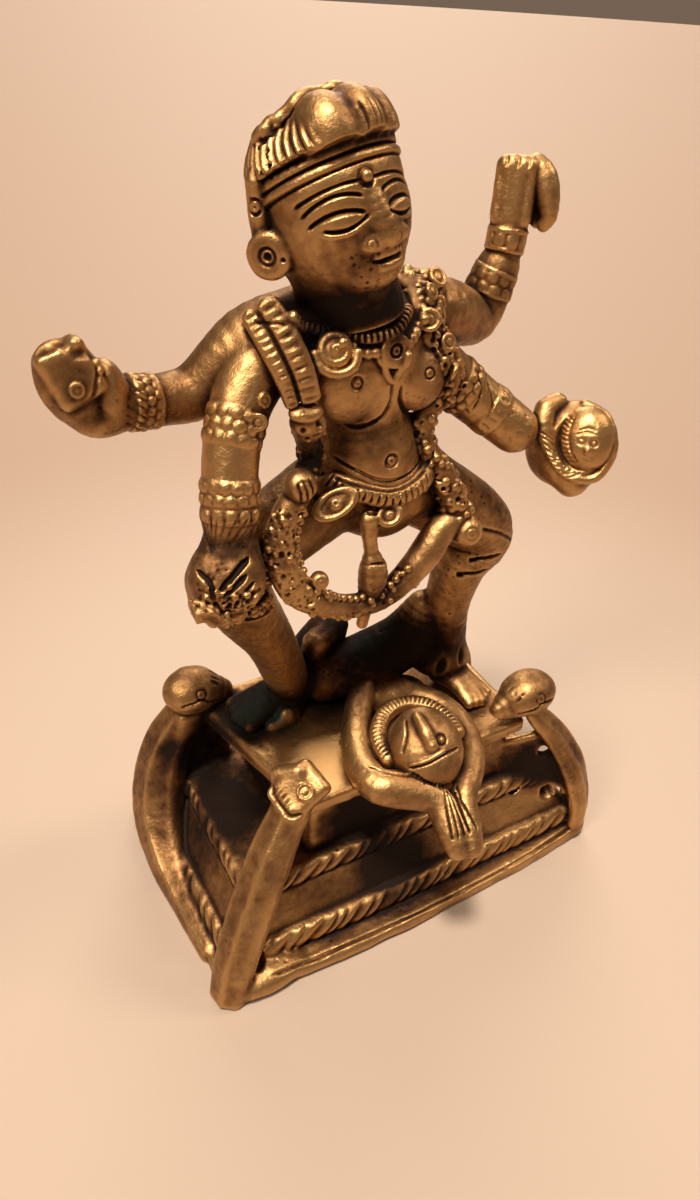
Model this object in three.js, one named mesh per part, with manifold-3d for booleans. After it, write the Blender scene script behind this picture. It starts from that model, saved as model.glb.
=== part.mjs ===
// Small cast-brass goddess with four arms, striding over a devotee on a stepped pedestal.
// Millimetres, +Z up. The origin is the middle of the pedestal's underside, and the figure faces -Y.
import * as THREE from "three";
import { ConvexGeometry } from "three/addons/geometries/ConvexGeometry.js";
import { mergeVertices } from "three/addons/utils/BufferGeometryUtils.js";
import Module from "manifold-3d";

const wasm = await Module();
wasm.setup();

// Pedestal
const BASE_WIDTH = 73;
const BASE_DEPTH = 45;
const RIM_HEIGHT = 2.6;
const RIM_BEVEL = 0.6;
const RIM_BOW = 2.2;
const LOWER_ROPE_HEIGHT = 4;
const BAND_HEIGHT = 5;
const BAND_LEAN = 3.2;
const UPPER_ROPE_HEIGHT = 3.2;
const ROPE_INSET = 2.2;
const ROPE_STROKE_PITCH = 5.8;
const ROPE_STROKE_RELIEF = 1;
const ROPE_STROKE_SLANT = 35;
const DADO_HEIGHT = 11.2;
const SLAB_WIDTH = 42.6;
const SLAB_DEPTH = 30.5;
const SLAB_THICKNESS = 2.5;
const SLAB_OVERHANG = 2;
const SLAB_SHIFT = 1.5;

// Corner straps, which stand free between the base's corners and the slab's
const STRAP_RADIUS = 2.7;
const STRAP_FOOT_INSET = 3;
const STRAP_BOW = 2.8;
const STRAP_STEPS = 4;
const BIRD_HEAD_LENGTH = 8.6;
const BACK_HEAD_SHIFT = -6;

// Figures, each drawn in hundredths of its own height or length
const FIGURE_HEIGHT = 92.4;
const DEVOTEE_LENGTH = 40;
const SEAT_GAP = 0.3;
const BAND_RISE = 0.8;

const brass = { color: 0xb98a45, roughness: 0.38, metalness: 1 };

const { degToRad } = THREE.MathUtils;
const UP = new THREE.Vector3(0, 1, 0);

// A turn by three angles in degrees, first about X, then Y, then Z
function turned(x, y, z) {
  return new THREE.Matrix4().makeRotationFromEuler(new THREE.Euler(degToRad(x), degToRad(y), degToRad(z), "ZYX"));
}

// A closed solid from a surface, with corners that meet made one
function solid(geometry) {
  const bare = geometry.index ? geometry.toNonIndexed() : geometry.clone();
  bare.deleteAttribute("normal");
  bare.deleteAttribute("uv");
  const merged = mergeVertices(bare, 1e-4);
  const index = merged.index.array;
  const kept = [];
  for (let i = 0; i < index.length; i += 3) {
    const [a, b, c] = [index[i], index[i + 1], index[i + 2]];
    if (a !== b && b !== c && c !== a) kept.push(a, b, c);
  }
  const vertProperties = new Float32Array(merged.attributes.position.array);
  return new wasm.Manifold(new wasm.Mesh({ numProp: 3, vertProperties, triVerts: new Uint32Array(kept) }));
}

function fuse(geometries) {
  return geometries.map(solid).reduce((whole, part) => whole.add(part));
}

function geometryOf(manifold) {
  const mesh = manifold.getMesh();
  const geometry = new THREE.BufferGeometry();
  geometry.setAttribute("position", new THREE.BufferAttribute(mesh.vertProperties.slice(), 3));
  geometry.setIndex(new THREE.BufferAttribute(mesh.triVerts.slice(), 1));
  geometry.computeVertexNormals();
  return geometry;
}

function moved(geometries, matrix) {
  return geometries.map((geometry) => geometry.clone().applyMatrix4(matrix));
}

// An egg of three radii, turned and then moved
function ball(center, radii, degrees = [0, 0, 0], sides = 8, rings = 5) {
  const geometry = new THREE.SphereGeometry(1, sides, rings).rotateX(Math.PI / 2);
  return geometry.scale(...radii).applyMatrix4(turned(...degrees)).translate(...center);
}

// A small faceted boss that stands out towards the front
function boss(center, radius) {
  return ball(center, [radius, 0.6 * radius, radius], [0, 0, 0], 5, 3);
}

// A round limb through points [x, y, z, radius], with a dome at each end, or a blunt tip on a thin one
function limb(points, sides = 7) {
  const centers = points.map(([x, y, z]) => new THREE.Vector3(x, y, z));
  const rings = centers.map((center, i) => {
    const before = centers[Math.max(i - 1, 0)];
    const after = centers[Math.min(i + 1, centers.length - 1)];
    return { center, tangent: after.clone().sub(before).normalize(), radius: points[i][3] };
  });
  const steps = sides > 5 ? [[0.6, 0.8], [1, 0]] : [[0.7, 0]];
  const dome = ({ center, tangent, radius }, side) => steps.map(([reach, share]) => ({
    center: center.clone().addScaledVector(tangent, side * reach * radius),
    tangent,
    radius: share * radius,
  }));
  return tube([...dome(rings[0], -1).reverse(), ...rings, ...dome(rings.at(-1), 1)], sides);
}

// The same points with a raised band added after one of them, at a share of the way to the next
function banded(points, after, share, width) {
  const [from, to] = points.slice(after, after + 2);
  const length = Math.hypot(to[0] - from[0], to[1] - from[1], to[2] - from[2]);
  const rise = [0, BAND_RISE, BAND_RISE, 0];
  const steps = [-0.5, -0.45, 0.45, 0.5].map((step, i) => {
    const [x, y, z, radius] = from.map((value, axis) => value + (share + step * width / length) * (to[axis] - value));
    return [x, y, z, radius + rise[i]];
  });
  return [...points.slice(0, after + 1), ...steps, ...points.slice(after + 1)];
}

// A closed tube through rings, made by bending a turned profile along them
function tube(rings, sides) {
  const geometry = new THREE.LatheGeometry(rings.map(({ radius }, i) => new THREE.Vector2(radius, i)), sides);
  let normal = new THREE.Vector3(0.31, 0.93, 0.2);
  const frames = rings.map(({ tangent }) => {
    normal = normal.clone().addScaledVector(tangent, -normal.dot(tangent)).normalize();
    return { normal, binormal: normal.clone().cross(tangent) };
  });
  const { position } = geometry.attributes;
  for (let i = 0; i < position.count; i += 1) {
    const level = Math.round(position.getY(i));
    const point = rings[level].center.clone();
    point.addScaledVector(frames[level].normal, position.getX(i));
    point.addScaledVector(frames[level].binormal, position.getZ(i));
    position.setXYZ(i, ...point.toArray());
  }
  return geometry;
}

// A short thick ring round a limb, at a share of the way between two points
function cuff(from, to, share, width, radius, sides = 7) {
  const [start, end] = [new THREE.Vector3(...from), new THREE.Vector3(...to)];
  const axis = end.clone().sub(start).normalize();
  const geometry = new THREE.CylinderGeometry(radius, radius, width, sides);
  geometry.applyQuaternion(new THREE.Quaternion().setFromUnitVectors(UP, axis));
  return geometry.translate(...start.lerp(end, share).toArray());
}

// A row of beads along a curve, made as one cord that swells and narrows
function beads(points, radius, count, sides = 4) {
  const curve = new THREE.CatmullRomCurve3(points.map(([x, y, z]) => new THREE.Vector3(x, y, z)));
  const rings = [];
  for (let i = 0; i <= 2 * count; i += 1) {
    const { x, y, z } = curve.getPointAt(i / (2 * count));
    rings.push([x, y, z, i % 2 === 1 ? radius : 0.62 * radius]);
  }
  return limb(rings, sides);
}

function ring(center, radius, thickness, degrees, steps = 6) {
  const geometry = new THREE.TorusGeometry(radius, thickness, 3, steps);
  return geometry.applyMatrix4(turned(...degrees)).translate(...center);
}

// A block between two level rectangles {x, y, z}, where x and y are half sizes.
// Its long sides may bow outwards.
function tier(bottom, top, { shift = 0, bow = 0 } = {}) {
  const corners = [];
  for (const { x, y, z } of [bottom, top]) {
    for (const side of [-1, 1]) {
      for (const share of bow > 0 ? [-1, -0.5, 0, 0.5, 1] : [-1, 1]) {
        corners.push(new THREE.Vector3(shift + share * x, side * (y + bow * (1 - share * share)), z));
      }
    }
  }
  return new ConvexGeometry(corners);
}

function shrunk({ x, y }, by) {
  return { x: x - by, y: y - by };
}

// Levels and half sizes of the pedestal's steps
const lowerRopeTop = RIM_HEIGHT + LOWER_ROPE_HEIGHT;
const bandTop = lowerRopeTop + BAND_HEIGHT;
const upperRopeTop = bandTop + UPPER_ROPE_HEIGHT;
const slabBottom = upperRopeTop + DADO_HEIGHT;
const slabTop = slabBottom + SLAB_THICKNESS;
const rim = { x: BASE_WIDTH / 2, y: BASE_DEPTH / 2 };
const lowerRope = shrunk(rim, ROPE_INSET);
const bandFoot = shrunk(lowerRope, ROPE_STROKE_RELIEF);
const bandHead = shrunk(bandFoot, BAND_LEAN);
const upperRope = shrunk(bandHead, ROPE_STROKE_RELIEF / 2);
const slab = { x: SLAB_WIDTH / 2, y: SLAB_DEPTH / 2 };
const dado = shrunk(slab, SLAB_OVERHANG);

function plinth() {
  const bevel = RIM_HEIGHT - RIM_BEVEL;
  return [
    tier({ ...rim, z: 0 }, { ...rim, z: bevel }, { bow: RIM_BOW }),
    tier({ ...rim, z: bevel }, { ...shrunk(rim, RIM_BEVEL), z: RIM_HEIGHT }, { bow: RIM_BOW }),
    tier({ ...lowerRope, z: RIM_HEIGHT }, { ...lowerRope, z: lowerRopeTop }),
    tier({ ...bandFoot, z: lowerRopeTop }, { ...bandHead, z: bandTop }),
    tier({ ...upperRope, z: bandTop }, { ...upperRope, z: upperRopeTop }),
    tier({ ...dado, z: upperRopeTop }, { ...dado, z: slabBottom }, { shift: SLAB_SHIFT }),
    tier({ ...slab, z: slabBottom }, { ...slab, z: slabTop }, { shift: SLAB_SHIFT }),
  ];
}

// The slanted strokes of a rope moulding, round the four sides of its bed
function ropeStrokes(bed, bottom, top) {
  const corners = [[-bed.x, -bed.y], [bed.x, -bed.y], [bed.x, bed.y], [-bed.x, bed.y]];
  return corners.flatMap(([x, y], i) => {
    const [nextX, nextY] = corners[(i + 1) % 4];
    const count = Math.round(Math.hypot(nextX - x, nextY - y) / ROPE_STROKE_PITCH);
    const heading = Math.atan2(nextY - y, nextX - x);
    return Array.from({ length: count }, (_, k) => {
      const share = (k + 0.5) / count;
      const stroke = new THREE.OctahedronGeometry(1);
      stroke.scale(0.42 * ROPE_STROKE_PITCH, ROPE_STROKE_RELIEF, 0.52 * (top - bottom));
      stroke.rotateY(degToRad(ROPE_STROKE_SLANT)).rotateZ(heading);
      return stroke.translate(x + share * (nextX - x), y + share * (nextY - y), (bottom + top) / 2);
    });
  });
}

// A strap bowed outwards from a corner of the base to a corner of the slab, with a bird's head on it
function cornerStrap(sideX, sideY) {
  const foot = [sideX * (rim.x - STRAP_FOOT_INSET), sideY * (rim.y - STRAP_FOOT_INSET), RIM_HEIGHT];
  const shift = SLAB_SHIFT + (sideY > 0 ? BACK_HEAD_SHIFT : 0);
  const neck = [shift + sideX * (slab.x + 0.4), sideY * (slab.y - 1.6), slabTop + 1];
  const points = Array.from({ length: STRAP_STEPS + 1 }, (_, i) => {
    const share = i / STRAP_STEPS;
    const out = Math.sin(Math.PI * share);
    const [x, y, z] = foot.map((value, axis) => value + share * (neck[axis] - value));
    return [x + sideX * STRAP_BOW * out, y + sideY * out, z, STRAP_RADIUS * (0.8 + 0.25 * out)];
  });
  return [limb(points, 6), ...birdHead(neck, sideX, sideY)];
}

function birdHead([x, y, z], sideX, sideY) {
  const size = BIRD_HEAD_LENGTH / 2;
  const beakTip = [x - 1.3 * sideX * size, y + 0.2 * sideY, slabTop + 0.2 * size, 0.28 * size];
  return [
    ball([x, y, z + 0.4 * size], [0.9 * size, 0.84 * size, 0.8 * size], [0, 0, 0], 7, 4),
    limb([[x, y, z, 0.7 * size], beakTip], 4),
    boss([x - 0.2 * sideX * size, y - 0.7 * size, z + 0.6 * size], 0.26 * size),
  ];
}

// Devotee: lies on the slab with its head over the front edge and its joined hands beyond it.
// Drawn in hundredths of its length, from the middle of the slab's front edge.
function devotee() {
  const toHands = [0, -33, -11, 4.6];
  const leftArm = [[-17, 11, 4, 6.4], [-29, -4, 4, 6.4], [-9, -23, -3, 5.6], toHands];
  const rightArm = [[15, 12, 3.5, 6], [21, -4, 3, 6], [8, -24, -4, 5], toHands];
  const leftLeg = [[-5, 46, 6, 8], [-9, 64, 19, 9.4], [-10, 69, 6, 8.6]];
  const rightLeg = [[8, 46, 3, 6], [9, 58, 9, 6.5], [10, 68, 2, 5]];
  return [
    ball([0, 2, 6], [12.4, 11, 15], [-25, 0, 0], 8, 6),
    cuff([0, 2, 6], [0, 26, 17], 0.2, 4, 17, 9),
    limb([[0, -9.5, 9, 1.6], [0, -12, 3, 2.4]], 4),
    ball([-2, 22, 4], [16, 13, 8], [0, 0, 0], 8, 4),
    ball([0, 40, 3], [12, 13, 7], [0, 0, 0], 6, 3),
    ...[leftArm, rightArm].map((points) => limb(points, 6)),
    ...[leftLeg, rightLeg].map((points) => limb(points, 5)),
    limb([[0, -28, -6, 4.4], [0, -38, -14, 3]], 5),
  ];
}

function pedestal() {
  const devoteeFrame = new THREE.Matrix4().makeTranslation(SLAB_SHIFT, -slab.y, slabTop);
  devoteeFrame.scale(new THREE.Vector3().setScalar(DEVOTEE_LENGTH / 100));
  return fuse([
    ...plinth(),
    ...ropeStrokes(lowerRope, RIM_HEIGHT, lowerRopeTop),
    ...ropeStrokes(upperRope, bandTop, upperRopeTop),
    ...[[-1, -1], [1, -1], [1, 1], [-1, 1]].flatMap(([sideX, sideY]) => cornerStrap(sideX, sideY)),
    ...moved(devotee(), devoteeFrame),
  ]);
}

// Goddess, in hundredths of her height: the origin is below her on the slab, and right and left are hers
const right = {
  backArm: [[-14, 1.5, 72, 5.4], [-21, 2.5, 70.4, 4.8], [-27.6, 4.4, 64.6, 4.2], [-36.4, 4, 64, 3.4]],
  frontArm: [[-15, -0.5, 71.4, 5], [-21.3, -1.1, 68, 4.6], [-26, -4.4, 61, 4.2], [-28.6, -7.7, 51, 3.9]],
  leg: [[-8, 1, 47.5, 6.8], [-28.4, -3.2, 39.6, 6.4], [-26.4, -2.2, 33, 6.6], [-17.8, 1, 19.4, 4.9], [-13, 3.4, 6.8, 4]],
  heel: [-12.2, 6.8, 2, 3.6],
  toes: [-20.8, 6.6, 1.4, 3],
};
const left = {
  backArm: [[1, 1.5, 71.6, 5.2], [9.4, 2.4, 71.2, 4.6], [18.2, 5.4, 68.8, 3.8], [22.6, 6.6, 76.4, 2.9]],
  frontArm: [[1, -0.5, 69, 5], [7, -1.5, 64, 4.2], [12.6, -3, 59.4, 3.7], [19.4, -6.6, 54.4, 3.5]],
  leg: [[5, 1, 45.4, 6.8], [19, -1.1, 34.4, 5.8], [16.6, 0, 27, 5.2], [14.2, 2, 18, 4.8], [13.4, 4.2, 6.4, 4.4]],
  heel: [15, 3.6, 2, 3.6],
  toes: [17.4, -8, 1.2, 3],
};

function torso() {
  return [
    limb([[-7, -0.6, 68, 6], [-8.8, -1.4, 80, 5.2]]),
    ball([-6.4, 0, 72], [13, 6.6, 5.5], [0, 0, 0], 8, 4),
    limb([[-6, -0.8, 68, 8.4], [-6, -0.8, 60, 6.8], [-5, -1.2, 53, 8.2], [-1.6, 0, 46.5, 8.4]], 8),
    ball([-6, -1, 67.5], [11.6, 7.4, 8.4], [0, 0, 0], 8, 4),
    ball([-1, 0.4, 46.5], [12, 7.6, 7], [0, 0, 0], 8, 4),
    ball([-11.6, -6, 68.2], [5, 5, 4.8], [0, 0, 0], 7, 4),
    ball([-0.8, -5.8, 67.8], [5, 5, 4.8], [0, 0, 0], 7, 4),
  ];
}

// Head, about its own middle, before it turns and leans
function head() {
  const wreath = Array.from({ length: 13 }, (_, i) => {
    const angle = Math.PI * (0.5 + i / 6);
    return [0.2 + 5.4 * Math.cos(angle), 5 * Math.sin(angle), 6.3 - Math.sin(angle)];
  });
  const sides = [-1, 1];
  return [
    ball([0.4, 0, 0.2], [9.3, 8.6, 9.4], [0, 0, 0], 10, 6),
    ball([1.6, -1.8, -3.8], [8.2, 6.8, 6.4], [0, 0, 0], 9, 4),
    beads(wreath, 3.8, 9, 5),
    ball([0, 0.4, 7], [6, 6, 3], [0, 0, 0], 6, 3),
    ring([-0.2, -0.2, 4], 8.8, 1.1, [-14, 0, 0], 8),
    limb([[0.7, -8.3, 1, 0.8], [1.5, -9.4, -1.8, 1.4]], 4),
    boss([0, -8, 3.2], 0.9),
    boss([2, -8, -4.8], 2),
    ...sides.map((side) => ball([0.6 + side * 3.7, -7.7, -0.4], [2.8, 1, 1.2], [0, 0, side * 22], 6, 3)),
    ...sides.map((side) => ball([side * 8.8, 0, -4.6], [1.6, 3.6, 3.8], [0, 0, side * -40], 7, 4)),
    boss([-9.8, -1.2, -4.8], 1.1),
  ];
}

function arms() {
  return [
    limb(banded(right.backArm, 2, 0.75, 3.2)),
    limb(banded(banded(right.frontArm, 2, 0.75, 4.6), 1, 0.45, 4.4)),
    limb(banded(left.backArm, 2, 0.4, 2.8), 6),
    limb(banded(banded(left.frontArm, 2, 0.75, 3.2), 1, 0.5, 3), 6),
  ];
}

// Two broad lobes with a boss between them
function openHand() {
  return [
    ball([-44.4, 3.2, 68.2], [4.8, 3.4, 6.8], [0, -24, 0]),
    ball([-40, 3, 64], [3.8, 3.8, 5.6], [0, -10, 0]),
    boss([-43, -0.2, 65.4], 1.1),
  ];
}

// A mitt on the knee, with a thumb
function kneeHand() {
  return [
    ball([-29, -8.8, 46], [5.4, 4.6, 6.4]),
    limb([[-26.4, -11, 48, 1.8], [-25.4, -11.6, 42, 1.6]], 5),
  ];
}

// Fingers up, then bent over and down on the outside
function hookedHand() {
  return [
    limb([[22.6, 6.6, 78, 2.9], [22.4, 6, 84, 3.4], [22.8, 6, 87.6, 2.8]]),
    limb([[23.4, 6, 87.8, 2.8], [26.8, 6, 86.8, 2.6], [28.6, 6, 82.8, 2.3], [27.8, 6, 81.2, 1.8]], 6),
  ];
}

// A hand cupped behind a dish, and a small head in the dish
function heldHead() {
  return [
    ball([24.8, -8, 52.2], [2.8, 6, 7.4], [0, 14, 0], 7, 4),
    limb([[21.6, -8, 54, 3.2], [24.4, -9, 57, 2.6], [28, -9.4, 57.6, 2.2]], 6),
    ball([30, -9, 51], [6, 5.4, 6.8], [0, 12, 0], 8, 4),
    ball([32, -11, 51.4], [4, 4.6, 5.4], [0, 12, 0], 7, 4),
    ball([29, -9, 45], [4.6, 4, 3], [0, 0, 0], 6, 4),
  ];
}

function leg({ leg: points, heel, toes }) {
  return [limb(banded(points, 3, 0.72, 3.4), 7), limb([heel, toes], 6), ...toeRow(heel, toes)];
}

function toeRow(heel, toes) {
  const along = new THREE.Vector3(toes[0] - heel[0], toes[1] - heel[1], 0).normalize();
  const across = new THREE.Vector3(-along.y, along.x, 0);
  return [-2.4, 0, 2.4].map((step) => {
    const root = new THREE.Vector3(...toes).addScaledVector(across, step);
    const tip = root.clone().addScaledVector(along, 3);
    return limb([[root.x, root.y, 1.6, 1.6], [tip.x, tip.y, 0.9, 1.2]], 4);
  });
}

function ornaments() {
  const rightStrap = [[-21.5, -2, 77], [-20.8, -7, 73], [-18.9, -8.4, 69], [-17.6, -7, 62],
    [-15.6, -5.4, 56], [-17, -6.6, 50], [-21, -8.2, 44]];
  const leftStrap = [[5.6, -0.6, 75.6], [2.8, -5.2, 75], [5.4, -5.6, 70.5], [4.8, -3.6, 64], [1.4, -3.8, 58.5],
    [3, -5.4, 54], [7, -6.4, 48.5], [11, -6.8, 42]];
  const loop = [[-22, -8.8, 43], [-19.6, -9.6, 38], [-16, -9.8, 35], [-9, -9.8, 33.4], [-2, -9.6, 33.6],
    [3.6, -8.7, 35.4], [8, -7.7, 38.4], [11.4, -6.8, 42]];
  const necklace = [[-17.5, -3.4, 76.4], [-15.6, -5.8, 74.2], [-11.2, -7, 72.4], [-7.2, -6.8, 72.6],
    [-3.2, -6, 74], [-0.4, -4.4, 76]];
  const belt = [[-13.6, -4, 53.4], [-11.6, -8, 52], [-6.6, -9.6, 50.6], [-1.6, -8.6, 50.8], [3.2, -6, 51.6]];
  const sash = [[-6.4, -8.8, 46, 1.8], [-6.8, -8.7, 42, 1.5], [-6.7, -8.2, 38, 2.7], [-6.2, -8, 34, 2.4],
    [-5.8, -7, 28, 1.6], [-5.6, -6, 22, 1.1]];
  return [
    beads(rightStrap, 2.8, 7),
    beads(leftStrap, 2.6, 7),
    beads(loop, 2.9, 7),
    beads(necklace, 1.6, 5),
    beads(belt, 2.1, 6),
    ring([-8, -1.2, 77.4], 6.2, 1, [-14, -6, 0], 8),
    limb(sash, 5),
    boss([-13.4, -8, 72.4], 2.2),
    boss([-4, -7.6, 72.6], 2.2),
    boss([-12.6, -9.4, 49.6], 2.6),
    boss([-4.8, -9.8, 47], 2.6),
    boss([12, -8, 41.4], 3.4),
    boss([0, -6.2, 74.2], 2.4),
    ball([-17, -7.6, 54], [2.8, 2.6, 2.8], [0, 0, 0], 6, 4),
  ];
}

function goddess() {
  const headFrame = new THREE.Matrix4().makeTranslation(-12.7, -1.7, 89.7).multiply(turned(2, -12, 6));
  const frame = new THREE.Matrix4().makeTranslation(0, 0, slabTop + SEAT_GAP);
  frame.scale(new THREE.Vector3().setScalar(FIGURE_HEIGHT / 100));
  const body = [
    ...torso(),
    ...moved(head(), headFrame),
    ...arms(),
    ...openHand(),
    ...kneeHand(),
    ...hookedHand(),
    ...heldHead(),
    ...leg(right),
    ...leg(left),
    ...ornaments(),
  ];
  const belowSoles = new THREE.BoxGeometry(200, 200, 100).translate(0, 0, slabTop + SEAT_GAP - 50);
  return fuse(moved(body, frame)).subtract(solid(belowSoles));
}

function piece(name, manifold) {
  const mesh = new THREE.Mesh(geometryOf(manifold), new THREE.MeshStandardMaterial(brass));
  mesh.name = name;
  return mesh;
}

const statuette = new THREE.Group();
statuette.add(piece("pedestal", pedestal()));
statuette.add(piece("kali_figure", goddess()));

export default statuette;
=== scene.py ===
# Cast-brass kali figure on a stepped pedestal. Each piece is a field of distances, then a mesh.
import math

import bpy
import numpy as np
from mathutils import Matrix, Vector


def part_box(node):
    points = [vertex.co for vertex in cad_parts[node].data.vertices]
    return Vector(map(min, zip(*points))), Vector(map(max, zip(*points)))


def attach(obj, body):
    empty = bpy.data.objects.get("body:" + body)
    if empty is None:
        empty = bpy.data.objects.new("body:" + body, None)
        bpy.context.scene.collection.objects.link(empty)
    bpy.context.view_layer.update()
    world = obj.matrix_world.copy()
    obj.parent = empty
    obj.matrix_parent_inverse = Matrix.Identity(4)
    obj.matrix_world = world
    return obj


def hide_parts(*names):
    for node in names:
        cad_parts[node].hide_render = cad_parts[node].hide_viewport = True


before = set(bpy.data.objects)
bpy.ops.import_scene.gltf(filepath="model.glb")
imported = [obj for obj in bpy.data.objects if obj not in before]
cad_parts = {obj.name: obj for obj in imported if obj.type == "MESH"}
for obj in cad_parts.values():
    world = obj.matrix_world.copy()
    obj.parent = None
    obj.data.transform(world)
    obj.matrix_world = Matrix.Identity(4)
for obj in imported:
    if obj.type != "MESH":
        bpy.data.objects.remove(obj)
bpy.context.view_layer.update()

import openvdb
from mathutils import Matrix, Vector

# Measures, in millimetres, taken from the frame
MM = 0.001
FIGURE_FOOT = (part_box("kali_figure")[0] / MM).z
JOINT_GAP = 0.3
SLAB_TOP = FIGURE_FOOT - JOINT_GAP

# The goddess is modelled in shares, hundredths of her height, from a point on the slab below her waist.
FIGURE_HEIGHT = 92.4
SHARE = FIGURE_HEIGHT / 100
FIGURE_ORIGIN = np.array((0, 0, FIGURE_FOOT), np.float32)

# CELL_SCALE scales the clay's cells. Distances are kept up to FAR, a form changes the clay up to TOUCH
# around it, and SKIN is the least that is worked over beyond a form.
CELL_SCALE = 1.0
FAR = 3.0
TOUCH = 0.8
SKIN = 0.3


# Clay: a block of space in which every point holds its distance to the surface

def smooth_min(a, b, blend):
    """The nearer of two distances, with the crease between them filled over the width blend."""
    low = np.minimum(a, b)
    if blend <= 0:
        return low
    near = np.maximum(blend - np.abs(a - b), 0) / blend
    near *= np.maximum(a, b) < blend
    return low - near * near * (blend / 4)


class Clay:
    """A block between two corners, in cells a step wide."""

    def __init__(self, low, high, step):
        self.low = np.array(low, np.float32)
        self.step = step * CELL_SCALE
        count = np.ceil((np.array(high) - self.low) / self.step).astype(int) + 1
        self.field = np.full(count, FAR, np.float32)
        self.axes = [self.low[i] + self.step * np.arange(count[i], dtype=np.float32) for i in range(3)]

    def window(self, low, high):
        """The part of the block between two corners: its slices, and the x, y and z of its points."""
        parts = []
        for axis, start, stop in zip(self.axes, low, high):
            first, last = np.searchsorted(axis, [start, stop])
            parts.append(slice(max(first - 1, 0), max(last + 1, 1)))
        x = self.axes[0][parts[0], None, None]
        y = self.axes[1][None, parts[1], None]
        z = self.axes[2][None, None, parts[2]]
        return tuple(parts), x, y, z

    def add(self, form, blend=0.0, margin=TOUCH):
        """Joins a form on. Large forms take a wide margin, so that later forms can blend with them."""
        low, high, distance = form
        reach = max(margin, blend + SKIN)
        part, x, y, z = self.window(low - reach, high + reach)
        here = self.field[part]
        if here.size:
            here[...] = smooth_min(here, distance(x, y, z), blend)

    def cut(self, form, blend=0.0):
        """Cuts a form away."""
        low, high, distance = form
        reach = max(blend, SKIN) + SKIN
        part, x, y, z = self.window(low - reach, high + reach)
        here = self.field[part]
        if here.size:
            here[...] = -smooth_min(-here, distance(x, y, z), blend)

    def emboss(self, low, high, height):
        """Raises the surface between two corners by height(x, y, z), or sinks it."""
        part, x, y, z = self.window(low, high)
        here = self.field[part]
        if here.size:
            here -= height(x, y, z)

    def fullness(self, width):
        """How much of the space around each point is metal: over half in hollows, less on ridges."""
        reach = max(1, int(round(width / self.step / 2)))
        full = np.clip(0.5 - self.field / self.step, 0, 1)
        for axis in range(3):
            ends = [(0, 0)] * 3
            ends[axis] = (reach + 1, reach)
            run = np.cumsum(np.pad(full, ends, mode="edge"), axis=axis, dtype=np.float32)
            size = run.shape[axis]
            upper = np.take(run, range(2 * reach + 1, size), axis=axis)
            lower = np.take(run, range(0, size - 2 * reach - 1), axis=axis)
            full = (upper - lower) / (2 * reach + 1)
        return full

    def sample(self, values, points):
        """Values of the block at free points, each from the eight block points around it."""
        place = (points - self.low) / self.step
        cell = np.clip(np.floor(place).astype(int), 0, np.array(values.shape) - 2)
        part = np.clip(place - cell, 0, 1)
        total = np.zeros(len(points), np.float32)
        for corner in np.ndindex(2, 2, 2):
            share = np.prod(np.where(corner, part, 1 - part), axis=1)
            total += share * values[tuple((cell + corner).T)]
        return total


# Forms: (low corner, high corner, distance), for Clay to add or cut

UPRIGHT = np.eye(3, dtype=np.float32)


def lengths(path):
    """Length along a path up to each of its points."""
    return np.concatenate([[0], np.cumsum(np.linalg.norm(np.diff(path[:, :3], axis=0), axis=1))])


def within(a, b):
    """Distance to where two sides overlap, from the distances to each."""
    return np.hypot(np.maximum(a, 0), np.maximum(b, 0)) + np.minimum(np.maximum(a, b), 0)


def turn(angles):
    """Rotation matrix for degrees about x, then y, then z."""
    x, y, z = np.radians(np.array(angles, float))
    rx = np.array([[1, 0, 0], [0, math.cos(x), -math.sin(x)], [0, math.sin(x), math.cos(x)]])
    ry = np.array([[math.cos(y), 0, math.sin(y)], [0, 1, 0], [-math.sin(y), 0, math.cos(y)]])
    rz = np.array([[math.cos(z), -math.sin(z), 0], [math.sin(z), math.cos(z), 0], [0, 0, 1]])
    return (rz @ ry @ rx).astype(np.float32)


def local(frame_axes, centre, x, y, z):
    """Coordinates along the columns of a rotation matrix, from its centre."""
    dx, dy, dz = x - centre[0], y - centre[1], z - centre[2]
    return [dx * a[0] + dy * a[1] + dz * a[2] for a in frame_axes.T]


def ball(centre, radii, axes=UPRIGHT):
    """An ellipsoid with its radii along the columns of axes."""
    centre = np.array(centre, np.float32)
    radii = np.ones(3, np.float32) * np.array(radii, np.float32)
    span = np.sqrt(((axes * radii) ** 2).sum(axis=1))

    def distance(x, y, z):
        u, v, w = local(axes, centre, x, y, z)
        u, v, w = u / radii[0], v / radii[1], w / radii[2]
        k0 = np.sqrt(u * u + v * v + w * w)
        k1 = np.sqrt((u / radii[0]) ** 2 + (v / radii[1]) ** 2 + (w / radii[2]) ** 2)
        return k0 * (k0 - 1) / (k1 + 1e-6)

    return centre - span, centre + span, distance


def block(centre, half, soft, axes=UPRIGHT):
    """A box with soft edges, its half sizes along the columns of axes."""
    centre = np.array(centre, np.float32)
    half = np.array(half, np.float32)
    span = np.abs(axes * half).sum(axis=1)

    def distance(x, y, z):
        out = [np.abs(p) - h + soft for p, h in zip(local(axes, centre, x, y, z), half)]
        free = np.sqrt(sum(np.maximum(p, 0) ** 2 for p in out))
        return free + np.minimum(np.maximum(np.maximum(out[0], out[1]), out[2]), 0) - soft

    return centre - span, centre + span, distance


def ring(centre, radius, thick, axes=UPRIGHT, oval=1.0):
    """A ring around the last column of axes, oval times as long along the second."""
    centre = np.array(centre, np.float32)
    span = np.abs(axes * np.array([radius + thick, radius * oval + thick, thick])).sum(axis=1)

    def distance(x, y, z):
        u, v, w = local(axes, centre, x, y, z)
        return np.hypot(np.hypot(u, v / oval) - radius, w) - thick

    return centre - span, centre + span, distance


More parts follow.
